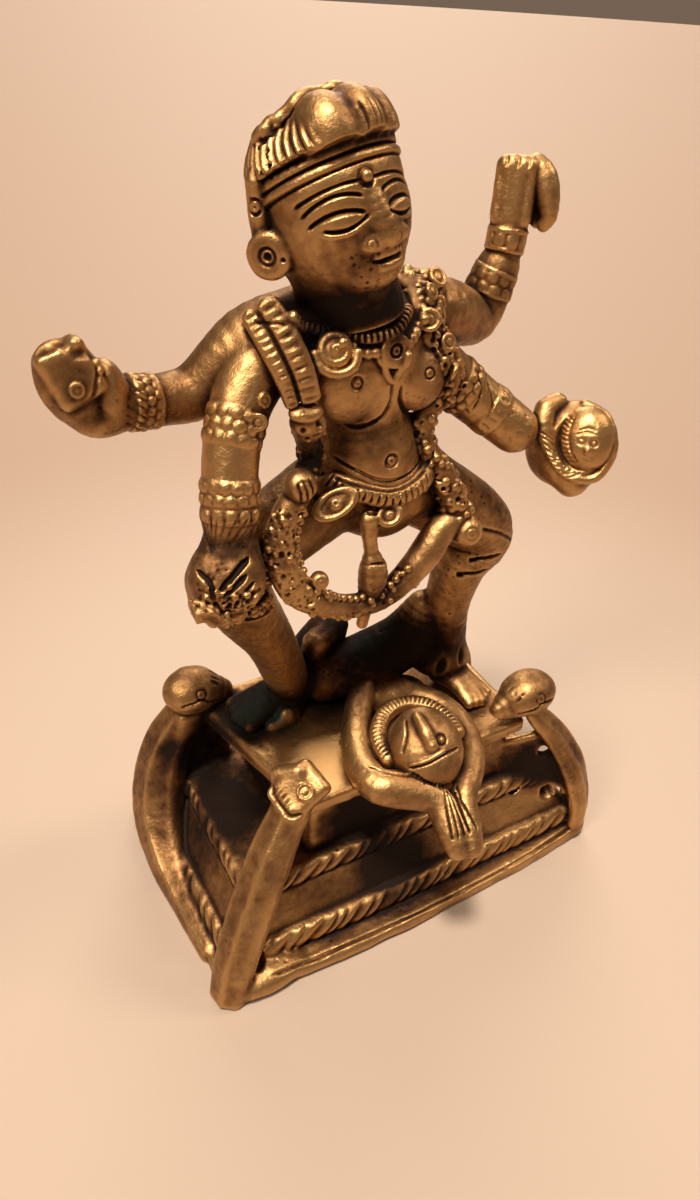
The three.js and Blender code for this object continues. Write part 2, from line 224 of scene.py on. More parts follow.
def spline(points, spacing):
    """Points about a spacing apart on the smooth curve through set ones. Later columns ride along."""
    fixed = np.array(points, np.float32)
    padded = np.vstack([2 * fixed[0] - fixed[1], fixed, 2 * fixed[-1] - fixed[-2]])
    path = []
    for a, b, c, d in zip(padded, padded[1:], padded[2:], padded[3:]):
        steps = max(2, int(np.ceil(np.linalg.norm((c - b)[:3]) / spacing)))
        for t in np.arange(steps) / steps:
            path.append(0.5 * (2 * b + (c - a) * t + (2 * a - 5 * b + 4 * c - d) * t * t
                               + (3 * b - a - 3 * c + d) * t ** 3))
    path.append(fixed[-1])
    return np.array(path, np.float32)


def round_section(s, u, v, w, size):
    """A round bar with round ends."""
    return np.sqrt(u * u + v * v + w * w) - size


def sweep(points, section=round_section, out=(0, -1, 0), spacing=1.6, reach=1.0, bulk=1.0):
    """A section carried along the smooth curve through points [x, y, z, size].

    section gets s along the curve, u across it, v along out, w past its ends, and the size."""
    path = spline(points, spacing)
    spots, sizes = path[:, :3], path[:, 3]
    runs = np.linalg.norm(np.diff(spots, axis=0), axis=1)
    start = lengths(spots)
    extra = sizes.max() * bulk + 0.6
    low, high = spots.min(axis=0) - extra, spots.max(axis=0) + extra
    out = np.array(out, np.float32)

    def distance(x, y, z):
        total = np.full(np.broadcast_shapes(x.shape, y.shape, z.shape), FAR, np.float32)
        grid = [x.ravel(), y.ravel(), z.ravel()]
        for i, run in enumerate(runs):
            near = max(sizes[i], sizes[i + 1]) * bulk + reach
            cells = []
            for axis, a, b in zip(grid, spots[i], spots[i + 1]):
                first, last = np.searchsorted(axis, [min(a, b) - near, max(a, b) + near])
                cells.append(slice(first, last))
            here = total[tuple(cells)]
            if not here.size or run < 1e-6:
                continue
            along = (spots[i + 1] - spots[i]) / run
            side = np.cross(along, out)
            side /= np.linalg.norm(side) + 1e-6
            lift = np.cross(side, along)
            dx = grid[0][cells[0], None, None] - spots[i][0]
            dy = grid[1][None, cells[1], None] - spots[i][1]
            dz = grid[2][None, None, cells[2]] - spots[i][2]
            t = dx * along[0] + dy * along[1] + dz * along[2]
            held = np.clip(t, 0, run)
            u = dx * side[0] + dy * side[1] + dz * side[2]
            v = dx * lift[0] + dy * lift[1] + dz * lift[2]
            size = sizes[i] + (sizes[i + 1] - sizes[i]) * (held / run)
            np.minimum(here, section(start[i] + held, u, v, t - held, size), out=here)
        return total

    return low, high, distance


def wave(value, pitch):
    """Rises and falls between 0 and 1 once in each pitch."""
    return 0.5 + 0.5 * np.cos(value * (2 * math.pi / pitch))


def bump(value, half_width):
    """A smooth hump, 1 at 0 and 0 past the half width."""
    t = np.clip(np.abs(value) / half_width, 0, 1)
    return (1 - t * t) ** 2


def grain(clay, size, seed):
    """Smooth noise over the whole block, about -1 to 1, with features of the given size."""
    shape = clay.field.shape
    coarse = [int(np.ceil(n * clay.step / size)) + 3 for n in shape]
    values = np.random.default_rng(seed).uniform(-1, 1, coarse).astype(np.float32)
    for axis, count in enumerate(shape):
        place = np.arange(count) * clay.step / size
        cell = np.floor(place).astype(int)
        t = (place - cell).astype(np.float32)
        t = t * t * (3 - 2 * t)
        t = t.reshape([-1 if i == axis else 1 for i in range(3)])
        values = np.take(values, cell, axis=axis) * (1 - t) + np.take(values, cell + 1, axis=axis) * t
    return values


# From clay to a mesh piece

def points_of(mesh):
    spots = np.empty(len(mesh.vertices) * 3, np.float32)
    mesh.vertices.foreach_get("co", spots)
    return spots.reshape(-1, 3)


def keep_mask(mesh, label, values):
    """Keeps a value for each point, which the material reads by its name."""
    mask = mesh.attributes.new(label, "FLOAT", "POINT")
    mask.data.foreach_set("value", values)


def mesh_from(clay, name, place, most_triangles, masks):
    """Meshes the clay's surface. place takes clay points to millimetres, masks lists what to keep of
    the fullness around them, as names and widths."""
    for axis in range(3):
        for end in (0, -1):
            clay.field[tuple(end if i == axis else slice(None) for i in range(3))] = FAR
    grid = openvdb.FloatGrid(FAR)
    grid.copyFromArray(clay.field)
    points, _, quads = grid.convertToPolygons(isovalue=0.0, adaptivity=0.0)
    own = points * clay.step + clay.low
    mesh = bpy.data.meshes.new(name)
    mesh.vertices.add(len(own))
    mesh.vertices.foreach_set("co", own.astype(np.float32).ravel())
    corners = quads[:, ::-1] if is_inside_out(own, quads) else quads
    mesh.loops.add(corners.size)
    mesh.loops.foreach_set("vertex_index", corners.astype(np.int32).ravel())
    mesh.polygons.add(len(corners))
    mesh.polygons.foreach_set("loop_start", np.arange(0, corners.size, 4, dtype=np.int32))
    mesh.update(calc_edges=True)
    obj = bpy.data.objects.new(name, mesh)
    bpy.context.scene.collection.objects.link(obj)
    count = 2 * len(corners)
    if count > most_triangles:
        thin = obj.modifiers.new("thin", "DECIMATE")
        thin.ratio = most_triangles / count
        view = bpy.context.evaluated_depsgraph_get()
        reduced = bpy.data.meshes.new_from_object(obj.evaluated_get(view))
        obj.modifiers.clear()
        obj.data = reduced
        bpy.data.meshes.remove(mesh)
        mesh = reduced
        mesh.name = name
    spots = points_of(mesh)
    for label, width in masks:
        keep_mask(mesh, label, clay.sample(clay.fullness(width), spots))
    mesh.vertices.foreach_set("co", (place(spots) * MM).astype(np.float32).ravel())
    mesh.polygons.foreach_set("use_smooth", np.ones(len(mesh.polygons), bool))
    mesh.update()
    return obj


def is_inside_out(points, quads):
    """Whether the faces look inwards, from the sign of the volume they enclose."""
    a, b, c, d = (points[quads[:, i]] for i in range(4))
    normals = np.cross(b - a, c - a) + np.cross(c - a, d - a)
    return float(np.einsum("ij,ij->i", a, normals).sum()) < 0


def from_shares(points):
    """From the goddess's shares to millimetres."""
    return points * SHARE + FIGURE_ORIGIN


# Sculptor's tools: places given near the surface are first settled onto it
SETTLE_ROUNDS = 6
LONGEST_MOVE = 0.8


def settle(clay, points):
    """Moves points onto the surface. Returns them and the outward directions there."""
    spots = np.array(points, np.float32).reshape(-1, 3)
    for _ in range(SETTLE_ROUNDS):
        slope = np.empty_like(spots)
        for axis in range(3):
            step = np.zeros(3, np.float32)
            step[axis] = clay.step
            ahead, behind = (clay.sample(clay.field, spots + way * step) for way in (1, -1))
            slope[:, axis] = ahead - behind
        outward = slope / (np.linalg.norm(slope, axis=1, keepdims=True) + 1e-6)
        move = np.clip(clay.sample(clay.field, spots), -LONGEST_MOVE, LONGEST_MOVE)
        spots = spots - outward * move[:, None]
    return spots, outward


def facing(direction):
    """Rotation matrix whose z axis points along a direction."""
    z = np.array(direction, np.float32)
    z = z / np.linalg.norm(z)
    x = np.cross((0, 0, 1) if abs(z[2]) < 0.9 else (0, 1, 0), z)
    x = x / np.linalg.norm(x)
    return np.column_stack([x, np.cross(z, x), z]).astype(np.float32)


def moved(points, x=0, y=0, z=0):
    return [(p[0] + x, p[1] + y, p[2] + z) for p in points]


def placer(centre, axes):
    """Two functions that take places along axes from a centre, for a point and for a line of points.

    A point of a line may end in its size, which stays."""
    def spot(a, b, c):
        return list(np.array(centre) + axes @ np.array((a, b, c)))

    def line(*points):
        return [spot(*point[:3]) + list(point[3:]) for point in points]

    return spot, line


def disc(centre, radius, half_thick, soft, axes=UPRIGHT):
    """A round plate with soft edges, around the last column of axes."""
    centre = np.array(centre, np.float32)
    span = np.abs(axes * np.array([radius, radius, half_thick])).sum(axis=1)

    def distance(x, y, z):
        u, v, w = local(axes, centre, x, y, z)
        return within(np.hypot(u, v) - radius + soft, np.abs(w) - half_thick + soft) - soft

    return centre - span, centre + span, distance


def laid(clay, points, lift, width, spacing=0.8):
    """The smooth line through points, settled on the surface and lifted, as [x, y, z, width]."""
    path = spline([p[:3] for p in points], spacing)
    spots, outward = settle(clay, path)
    return np.column_stack([spots + outward * lift, np.full(len(spots), width)]), outward


def groove(clay, points, width, depth, blend=0.1):
    """Cuts a rounded line that ends in points."""
    line, _ = laid(clay, points, width - depth, width)
    ends = np.minimum(np.arange(len(line)), np.arange(len(line))[::-1]) / 2.0
    line[:, 3] *= np.clip(0.45 + ends, 0, 1)
    clay.cut(sweep(line, spacing=9), blend)


def welt(clay, points, width, lift, blend=0.2):
    """Raises a rounded line."""
    line, _ = laid(clay, points, lift, width)
    clay.add(sweep(line, spacing=9), blend)


def spaced(points, pitch):
    """Places a pitch apart, from end to end of the smooth line through points."""
    path = spline([p[:3] for p in points], 0.3)
    along = lengths(path)
    places = np.linspace(0, along[-1], max(2, int(round(along[-1] / pitch)) + 1))
    return np.column_stack([np.interp(places, along, path[:, axis]) for axis in range(3)])


def beads(clay, points, radius, pitch):
    """A row of beads on the surface."""
    spots, outward = settle(clay, spaced(points, pitch))
    for spot, out in zip(spots, outward):
        clay.add(ball(spot + out * 0.2 * radius, radius), 0.15)


def strokes(clay, points, length, pitch, width, depth, slant=0.0):
    """A row of short cuts across a line, each slanted along it by a share of its length."""
    spots, outward = settle(clay, spaced(points, pitch))
    runs = np.gradient(spots, axis=0)
    for spot, out, run in zip(spots, outward, runs):
        run = run / (np.linalg.norm(run) + 1e-6)
        side = np.cross(out, run)
        half = (side + slant * run) * length / 2
        ends, ups = settle(clay, [spot - half, spot + half])
        lift = width - depth
        cut = [list(ends[0] + ups[0] * lift) + [width * 0.7],
               list(spot + out * lift) + [width],
               list(ends[1] + ups[1] * lift) + [width * 0.7]]
        clay.cut(sweep(cut), 0.1)


def punch(clay, spot, radius, width=0.22, depth=0.3, dot=0.0):
    """A ring struck into the surface, with a small knob or pit in its middle."""
    (place,), (out,) = settle(clay, [spot])
    clay.cut(ring(place + out * (width - depth), radius, width, facing(out)), 0.1)
    if dot:
        clay.cut(ball(place + out * 0.1, dot), 0.1)


def boss(clay, spot, radius, height, ringed=True):
    """A round button on the surface, struck with a ring."""
    (place,), (out,) = settle(clay, [spot])
    clay.add(disc(place + out * height * 0.4, radius, height * 0.6, height * 0.5, facing(out)), 0.25)
    if ringed:
        top = place + out * height
        clay.cut(ring(top, radius * 0.5, radius * 0.14, facing(out)), 0.1)


def pits(clay, low, high, count, size, seed):
    """Casting pits, scattered over the surface between two corners."""
    random = np.random.default_rng(seed)
    spots, outward = settle(clay, random.uniform(low, high, (count, 3)))
    widths = size * random.uniform(0.5, 1.2, count)
    for spot, out, width in zip(spots, outward, widths):
        if np.all(spot > np.array(low) - 1) and np.all(spot < np.array(high) + 1):
            clay.cut(ball(spot + out * width * 0.3, width), 0.1)


def crust(clay, points, width, count, size, seed, depth=0.35):
    """Rough nuggets along a line, as on a garland that was cast from wax crumbs."""
    random = np.random.default_rng(seed)
    path = spline([p[:3] for p in points], 0.3)
    spots = path[random.integers(0, len(path), count)] + random.uniform(-width, width, (count, 3))
    spots, outward = settle(clay, spots)
    found = np.abs(clay.sample(clay.field, spots)) < 0.3
    spots, outward, count = spots[found], outward[found], int(found.sum())
    sizes = size * random.uniform(0.55, 1.25, count)
    for spot, out, radius, dip in zip(spots, outward, sizes, random.uniform(0, 1, count)):
        if dip < depth:
            clay.cut(ball(spot + out * radius * 0.3, radius * 0.8), 0.12)
        else:
            clay.add(ball(spot - out * radius * 0.25, radius), 0.15)


def rope_on(clay, points, width, lift, pitch):
    """A half-round cord on the surface, cut into ribs."""
    line, outward = laid(clay, points, lift, width)
    clay.add(sweep(line, spacing=9), 0.15)
    strokes(clay, line[:, :3] + outward * width, width * 2.2, pitch, 0.2, 0.3)


# Head, in shares from its own middle. Angles run round from the nose, in degrees, towards her left.
HEAD_CENTRE = (-11.15, -1.9, 86.4)
HEAD_TURN = (-7.8, -12.6, 6.4)
HEAD_STEP = 0.145
BAND_LEAN = (0.04, 0.415, 1.0)
BAND_SLOPE = 1.084
HEADDRESS_FOOT = 6.5
HEADBAND_MIDDLE = 4.9
HEADBAND_FOOT = 3.55


def band_level(x, y, z):
    """Height across the tilted headband."""
    return BAND_LEAN[0] * x + BAND_LEAN[1] * y + BAND_LEAN[2] * z


def round_angle(x, y):
    """Degrees round the head from the nose."""
    return np.degrees(np.arctan2(x, -y))


def strip(level, foot, head):
    """A rounded strip between two levels: 1 in its middle, 0 at its edges."""
    t = (level - (foot + head) / 2) / ((head - foot) / 2)
    return np.sqrt(np.clip(1 - t * t, 0, 1))


# Curved lines cut over both eyes: top level, bend, angle of the top, first and last angle, depth, width
UPPER_LID = (1.98, -0.0016, 27, 9, 58, 0.60, 0.38)
LOWER_LID = (0.0, 0.0017, 34, 7, 46, 0.42, 0.30)
EYE_LINES = (
    (4.85, -0.0008, 14, 1, 66, 0.45, 0.34),
    (3.75, -0.0017, 26, 8, 62, 0.50, 0.36),
    UPPER_LID,
    LOWER_LID,
)
EYE_MIDDLE = 30
FACE_ROLL = 0.012


def curved_level(line, side):
    """Level of an eye line at an angle from the nose."""
    top, bend, middle = line[:3]
    return top + bend * (side - middle) ** 2


def face_relief(x, y, z):
    """Brows, lids and eyes, the same on both sides of the nose."""
    angle = round_angle(x, y)
    side = np.abs(angle - 1)
    level = z + FACE_ROLL * angle
    height = np.zeros(np.broadcast_shapes(angle.shape, z.shape), np.float32)
    for line in EYE_LINES:
        first, last, depth, width = line[3:]
        ends = np.clip((side - first) / 3, 0, 1) * np.clip((last - side) / 4, 0, 1)
        height -= depth * ends * bump(level - curved_level(line, side), width)
    upper, lower = curved_level(UPPER_LID, side), curved_level(LOWER_LID, side)
    inside = np.clip((upper - level) / 0.5, 0, 1) * np.clip((level - lower) / 0.5, 0, 1)
    height += 0.38 * inside * bump(side - EYE_MIDDLE, 21)
    height += 0.22 * bump(level - lower + 0.5, 0.45) * bump(side - 32, 20)
    return height * (y < 0) * (np.abs(z) < 8)


def band_relief(x, y, z):
    """Two rounded strips round the head, with a line cut along each edge."""
    level = band_level(x, y, z)
    height = 0.5 * strip(level, HEADBAND_MIDDLE, HEADDRESS_FOOT)
    height = height + 0.42 * strip(level, HEADBAND_FOOT, HEADBAND_MIDDLE)
    for edge in (HEADDRESS_FOOT, HEADBAND_MIDDLE, HEADBAND_FOOT):
        height = height - 0.3 * bump(level - edge, 0.3)
    return height


def headdress():
    """A cap that stands just proud of the headband, fluted at the sides and locked behind."""
    def distance(x, y, z):
        cap = np.sqrt(x ** 2 + (y - 0.3) ** 2 + ((z - 4.0) * 1.02) ** 2) - 9.35
        foot = (HEADDRESS_FOOT - band_level(x, y, z)) / BAND_SLOPE
        turned = np.abs(round_angle(x, y))
        rise = np.clip((z - 3.0) / 4.0, 0, 1) * np.clip((13.4 - z) / 3.0, 0, 1)
        rise = rise * np.clip((np.sqrt(x ** 2 + y ** 2) - 4) / 2, 0, 1)
        flutes = 0.1 + 0.75 * np.sqrt(wave(turned - 3.5 * z, 9.0) + 0.02)
        cap = cap - rise * (np.clip((turned - 30) / 8, 0, 1) * flutes)
        near = np.maximum(0.5 - np.abs(cap - foot), 0) / 0.5
        return np.maximum(cap, foot) + near * near * 0.125
    return np.array([-11, -11, 0]), np.array([11, 11, 15]), distance


# Lobes of the headdress over the forehead: middle, radii
FRONT_LOBES = (
    ((-1.6, -3.5, 9.1), (3.8, 4.8, 5)),
    ((2.4, -3.5, 9), (3.1, 4.8, 4.9)),
    ((5.2, -2.9, 8.6), (2.5, 4, 4.3)),
)
RIM = [
    (-7.9, 0.6, 10), (-6.9, -0.4, 11.2), (-4.9, -1.4, 12.7), (-2.6, -1.6, 13.5),
    (1.5, -1.5, 13.6), (5.2, -0.9, 12.7), (7.6, 0.2, 10.9),
]


def make_headdress(clay):
    """The cap with its lobes, a rim over the top and a fringe at the side."""
    clay.add(headdress(), 0.15)
    for middle, radii in FRONT_LOBES:
        low, high, egg = ball(middle, radii)

        def lobe(x, y, z, egg=egg):
            return np.maximum(egg(x, y, z), (HEADDRESS_FOOT - 0.3 - band_level(x, y, z)) / BAND_SLOPE)

        clay.add((low, high, lobe), 1.0)
    for x in (0.9, 2.6, 3.9):
        groove(clay, [(x, -9.4, 8.6), (x + 0.1, -8.8, 11.2), (x + 0.1, -7.4, 12.8)], 0.2, 0.2)
    groove(clay, RIM, 0.42, 0.65)
    welt(clay, [(x * 0.9, y + 1.0, z + 0.75) for x, y, z in RIM], 0.8, 0.15, 0.4)
    strokes(clay, [(-9.1, -1.4, 7.6), (-9.7, 1.2, 7.4), (-9.5, 3.4, 7.4)], 1.5, 0.7, 0.2, 0.3)
    for spot in ((-8.5, -1.6, 9.0), (-9.6, 2.2, 5.6)):
        punch(clay, spot, 0.85, 0.26, 0.4, 0.3)


def back_locks(x, y, z):
    """Plain locks of hair down the back of the head."""
    angle = np.abs(round_angle(x, y))
    run = np.clip((angle - 98) / 10, 0, 1) * np.clip((z + 7) / 2, 0, 1) * np.clip((6 - z) / 2, 0, 1)
    return 0.4 * run * (np.sqrt(wave(angle, 10.5) + 0.02) - 0.4)


def make_head():
    clay = Clay((-14.5, -12, -13), (12, 13, 16), HEAD_STEP)
    clay.add(ball((0, 0, 0), (9.2, 8.6, 9.6)), margin=2)
    clay.add(ball((0, 0.2, 4.6), (8.75, 8.3, 5.6)), 1.2, margin=2)
    clay.add(ball((0.3, -4.6, -5.4), (4.2, 3.6, 2.9)), 1.6, margin=2)

    # Nose and nostrils
    clay.add(sweep([[0.5, -7.9, 2.4, 0.9], [0.7, -8.0, 0.6, 1.5], [0.9, -7.8, -1.3, 2.2]]), 1.2)
    clay.add(ball((-0.9, -8.1, -2.0), (1.5, 1.0, 1.0)), 0.8)
    clay.add(ball((2.8, -8.0, -2.1), (1.5, 1.0, 1.0)), 0.8)

    # Eyes, headband and hair
    clay.emboss((-9.5, -10, -8), (9.5, 0.5, 7), face_relief)
    clay.emboss((-11, -11, -3), (11, 11, 12), band_relief)
    clay.emboss((-11, -3, -9), (11, 11, 8), back_locks)
    make_headdress(clay)

    # Lips, and a dot at each side of the nose
    welt(clay, [(-0.6, -8, -3.6), (0.9, -8.3, -3.5), (2.8, -7.9, -3.9)], 0.45, -0.15, 0.5)
    welt(clay, [(-0.4, -8, -5.0), (0.9, -8.3, -5.2), (2.6, -7.9, -5.1)], 0.45, -0.15, 0.5)
    groove(clay, [(-1.3, -7.9, -4.1), (0.9, -8.2, -4.2), (3.2, -7.8, -4.6)], 0.34, 0.38)
    for angle, level in ((-11, -1.8), (11, -2.1)):
        x = 10 * math.sin(math.radians(angle))
        y = -10 * math.cos(math.radians(angle))
        punch(clay, (x, y, level), 0.62, 0.14, 0.2, 0.24)

    # The mark on her forehead, her ears, and her neck
    (dot,), (out,) = settle(clay, [(-0.1, -7.6, 5.1)])
    clay.cut(ring(dot, 0.95, 0.32, facing(out)), 0.12)
    clay.add(ball(dot, 0.68), 0.1)
    ear_discs(clay)
    punch(clay, (-10.4, 0.8, 4.2), 0.85, 0.24, 0.36, 0.3)
    pits(clay, (-11, -2, 0), (-8, 4, 8), 26, 0.22, 22)
    clay.add(sweep([[-0.5, 1.2, -6, 6.6], [0.6, 0.6, -12, 6.0]]), 1.0)
    pits(clay, (-4, -9.5, -8), (6, -4, -2.4), 90, 0.2, 21)
    clay.field += 0.05 * grain(clay, 0.9, 3)
    return clay


def ear_discs(clay):
    """Round ear plugs, seen half from the side."""
    for side, spot in ((-1, (-10.2, 0.3, -1.3)), (1, (9.6, 2.4, -1.8))):
        axes = facing((side * 0.77, -0.64, 0.1))
        centre = np.array(spot)
        clay.add(disc(centre, 2.85, 0.85, 0.8, axes), 0.6)
        face = centre + axes[:, 2] * 0.85
        clay.cut(ring(face, 0.95, 0.26, axes), 0.15)
        clay.cut(ball(face, 0.55), 0.15)
        clay.cut(ball(face - axes[:, 0] * side * 1.9 - axes[:, 1] * 0.6, 0.35), 0.1)
    clay.add(sweep([[-8.8, 1.6, 6.5, 1.3], [-9.2, 1.8, 3.5, 1.4], [-9.6, 1.8, 1.2, 1.3]]), 0.5)
    clay.add(sweep([[8.8, 2.2, 6.0, 1.3], [9.2, 2.6, 3.0, 1.4], [9.5, 2.6, 0.6, 1.3]]), 0.5)


def head_place(points):
    """From the head's own shares to millimetres, turned and set on her neck."""
    return from_shares(points @ turn(HEAD_TURN).T + np.array(HEAD_CENTRE, np.float32))


# Goddess, in shares of her height. Points are [x, y, z, radius]; her right side is at -x.
RIGHT_BACK_ARM = [
    [-14, 1.5, 72, 5.4], [-21, 2.5, 70.4, 4.8], [-27.6, 4.2, 64.6, 3.9], [-33, 4, 64, 3.4],
    [-38.6, 3.4, 64.7, 3.5],
]
RIGHT_FRONT_ARM = [
    [-15, -0.5, 71.4, 5], [-21.8, -1, 68, 4.4], [-26.7, -4.2, 61, 3.8], [-28.9, -7.5, 51, 3.7],
]
LEFT_BACK_ARM = [
    [1, 1.5, 71.6, 5.2], [9, 2.4, 71.2, 4.6], [16.8, 5, 68.6, 3.9], [20.2, 5, 75.4, 3.2],
]
LEFT_FRONT_ARM = [
    [1, -0.5, 69, 5], [7, -1.5, 64, 4.2], [12.6, -3, 59.4, 3.9], [18.6, -6.2, 54.6, 3.7],
]
BODY_STEP = 0.19
BULK_MARGIN = 2.6

# Armlets and bangles: arm, place along it, width, rise, rows, knobs in a row, edge, wear, seed
BANGLES = (
    (RIGHT_BACK_ARM, 0.905, 3.6, 0.35, 3, 16, 0.9, 0, 3),
    (RIGHT_FRONT_ARM, 0.565, 4.2, 0.4, 3, 14, 0.5, 0.9, 4),
    (RIGHT_FRONT_ARM, 0.86, 3.2, 0.45, 2, 15, 0.6, 0.8, 5),
    (RIGHT_FRONT_ARM, 0.965, 2, 0.5, 1, 13, 0.5, 0.8, 6),
    (LEFT_BACK_ARM, 0.92, 3.4, 0.3, 2, 11, 1, 0.5, 7),
    (LEFT_FRONT_ARM, 0.50, 2.8, 0.4, 2, 14, 0.6, 0.6, 8),
    (LEFT_FRONT_ARM, 0.78, 2.4, 0.35, 1, 15, 0.7, 0.9, 11),
)


def band(clay, points, middle, width, rise, rows, count, edge, worn, seed):
    """Rows of uneven knobs round a limb, at a share of its length, between two plain edges.

    worn fades the band on the side that is turned away from the front."""
    path = spline(points, 0.25)
    along = lengths(path)
    spots = [middle * along[-1] + width * share for share in (-0.5, -0.25, 0, 0.25, 0.5)]
    line = np.column_stack([np.interp(spots, along, path[:, axis]) for axis in range(4)])
    length = lengths(line)[-1]

    def section(s, u, v, w, size):
        from_axis = np.sqrt(u * u + v * v)
        row = np.minimum(np.floor(s / length * rows), rows - 1)
        around = np.arctan2(v, u) * (count / (2 * math.pi)) + 0.5 * row
        knob = np.floor(around)
        lot = np.sin(knob * 12.9898 + row * 78.233 + seed) * 43758.5453
        amount = 0.5 + 0.5 * (lot - np.floor(lot))
        away = ((around - knob - 0.5) ** 2 + (s / length * rows - row - 0.5) ** 2) / 0.23
        swell = 0.3 + 0.9 * amount * np.sqrt(np.clip(1 - away, 0, 1))
        swell = np.maximum(swell, edge * (bump(s - 0.2, 0.5) + bump(s - length + 0.2, 0.5)))
        fade = 1 - worn * np.clip(0.5 - 1.2 * v / (from_axis + 0.1), 0, 1)
        return np.maximum(from_axis - size - rise * swell * fade, np.abs(w) - 0.12)

    clay.add(sweep(line, section, out=(-0.4, -0.8, 0.4), spacing=9, bulk=1.4), 0.12)


TRUNK = [[-6, -0.8, 70, 7.6], [-5.6, -0.8, 60, 6.6], [-4.6, -1.2, 53, 8], [-2, 0, 46.5, 8]]


def make_torso(clay):
    """Trunk, chest, shoulders, neck and breasts."""
    clay.add(sweep(TRUNK), margin=BULK_MARGIN)
    clay.add(ball((-6, -1, 68), (11.4, 6.9, 8.0)), 1.2, margin=BULK_MARGIN)
    clay.add(ball((-6.4, 0.2, 72), (12.6, 6.0, 5.0)), 1.2, margin=BULK_MARGIN)
    clay.add(sweep([[-7, -0.6, 68, 6], [-8.8, -1.4, 80, 5.2]]), 1.2, margin=BULK_MARGIN)
    clay.add(ball((-10.4, -4.6, 66.0), (5.6, 4.0, 5.6)), 0.7, margin=BULK_MARGIN)
    clay.add(ball((0.4, -4.6, 65.4), (4.5, 4.0, 5.0)), 0.7, margin=BULK_MARGIN)


def make_arms(clay):
    """Four arms with their armlets and bangles."""
    for arm in (RIGHT_BACK_ARM, RIGHT_FRONT_ARM, LEFT_BACK_ARM, LEFT_FRONT_ARM):
        clay.add(sweep(arm), 0.7, margin=1.6)
    for bangle in BANGLES:
        band(clay, *bangle)
    boss(clay, (-24.4, -8, 64.4), 1.2, 0.5)
    boss(clay, (-22.6, -7.6, 66.6), 1.0, 0.4)
    for x, y, z in ((11.2, -6, 61.4), (13.2, -6.8, 60)):
        groove(clay, [(x - 0.6, y + 2, z + 2), (x, y, z), (x - 1.2, y - 0.6, z - 2.4)], 0.2, 0.26)
    pits(clay, (8, -11, 50), (20, -3, 64), 70, 0.2, 53)


PADDLE = (-43.4, 2.6, 67.5)
PADDLE_AXES = facing((-0.21, -0.9, 0.385))
KNEE_HAND = (-30.0, -9.5, 45.5)
KNEE_HAND_AXES = facing((-0.31, -0.77, 0.56))


def make_right_hands(clay):
    """Her upper right hand is a flat paddle of two lobes; the lower one lies on her knee."""
    spot, line = placer(PADDLE, PADDLE_AXES)
    clay.add(ball((-44.2, 3.2, 68.0), (4.2, 3.2, 6.4), turn((0, -26, 0))), 0.5)
    clay.add(block((-44.6, 2.6, 70.0), (3.2, 2.6, 3.7), 1.1, turn((-14, -22, 0))), 0.5)
    clay.add(ball((-40.2, 2.6, 66.3), (2.6, 3.2, 4.9), turn((0, -8, 0))), 0.35)
    clay.add(ball((-41.4, 3.2, 63.7), (3.8, 3.2, 2.8)), 0.7)

    # Lines of the palm
    groove(clay, line((-4.8, 4.2, 3), (-1, 4.6, 3), (2.4, 3.6, 3)), 0.9, 0.4, 0.4)
    groove(clay, line((2.2, 3.2, 3), (1.6, 0.6, 3), (1.2, -1.4, 3)), 0.35, 0.3)
    beads(clay, line((2.2, 3.8, 3), (3.2, 3.4, 3), (2.4, 2.2, 3)), 0.45, 0.8)
    boss(clay, spot(-0.7, 0.2, 3), 0.95, 0.35)
    pits(clay, (-49, -2, 61), (-37, 3, 75), 40, 0.16, 51)
    strokes(clay, [(-37.2, 0.4, 68), (-37.2, -0.6, 65), (-37.6, 0.6, 62)], 3.2, 1.2, 0.2, 0.22, 0.8)

    spot, line = placer(KNEE_HAND, KNEE_HAND_AXES)
    clay.add(ball(spot(-0.4, -1.6, -0.6), (5.2, 5.2, 4.4), KNEE_HAND_AXES), 0.8)
    clay.add(block(spot(-0.2, -1.6, -0.6), (4.7, 4.4, 3.9), 3.2, KNEE_HAND_AXES), 0.8)
    clay.add(ball(spot(0.2, 2.4, -0.4), (3.9, 3.6, 3.9), KNEE_HAND_AXES), 0.8)

    # Fingers, and the worn cloth under them
    for start, end, width in (((2.7, 0.9), (-1.1, -3.2), 0.5), ((2.2, -1.5), (-0.8, -4.3), 0.42),
                              ((3.6, -2.4), (1.0, -5.0), 0.36), ((4.2, -3.9), (2.9, -5.2), 0.3)):
        half = [(p + q) / 2 for p, q in zip(start, end)]
        groove(clay, line((*start, 3.4), (*half, 3.4), (*end, 3.4)), width, width * 1.4)
    strokes(clay, line((-1.6, -5.2, 3), (1.0, -5.6, 3), (3.6, -5.4, 3)), 1.4, 0.9, 0.22, 0.3, 0.6)
    pits(clay, (-36, -14, 38), (-24, -8, 51), 80, 0.17, 52)
    strokes(clay, line((-4.4, 3.4, 3), (0, 4.6, 3.6), (4.2, 3.4, 3)), 4.2, 0.8, 0.16, 0.16, 0.4)
    crust(clay, line((-3.6, -3.6, 3), (0.4, -5.4, 2.6), (4.0, -5.2, 2)), 1.8, 110, 0.42, 54, 0.6)
    groove(clay, line((-4.6, -0.6, 3), (-2.6, -2.4, 3.4), (-2.2, -5.0, 3)), 0.4, 0.5)


FIST = (22.0, 6.0, 85.8)
FIST_AXES = facing((-0.62, -0.755, 0.2))
CUP = (27.8, -10.0, 51.6)
CUP_AXES = facing((-0.65, -0.63, 0.42))
CUP_RIM = [
    (0.6, 6.4, 1.6), (3.6, 5.4, 1.8), (5.6, 2.6, 2), (6.1, -0.6, 2), (5.2, -3.4, 2),
    (3.2, -4.8, 2.4), (0.6, -4.6, 3), (-1.6, -3.2, 3.4), (-3.2, -1, 3.4), (-3.8, 1.6, 3.2),
]


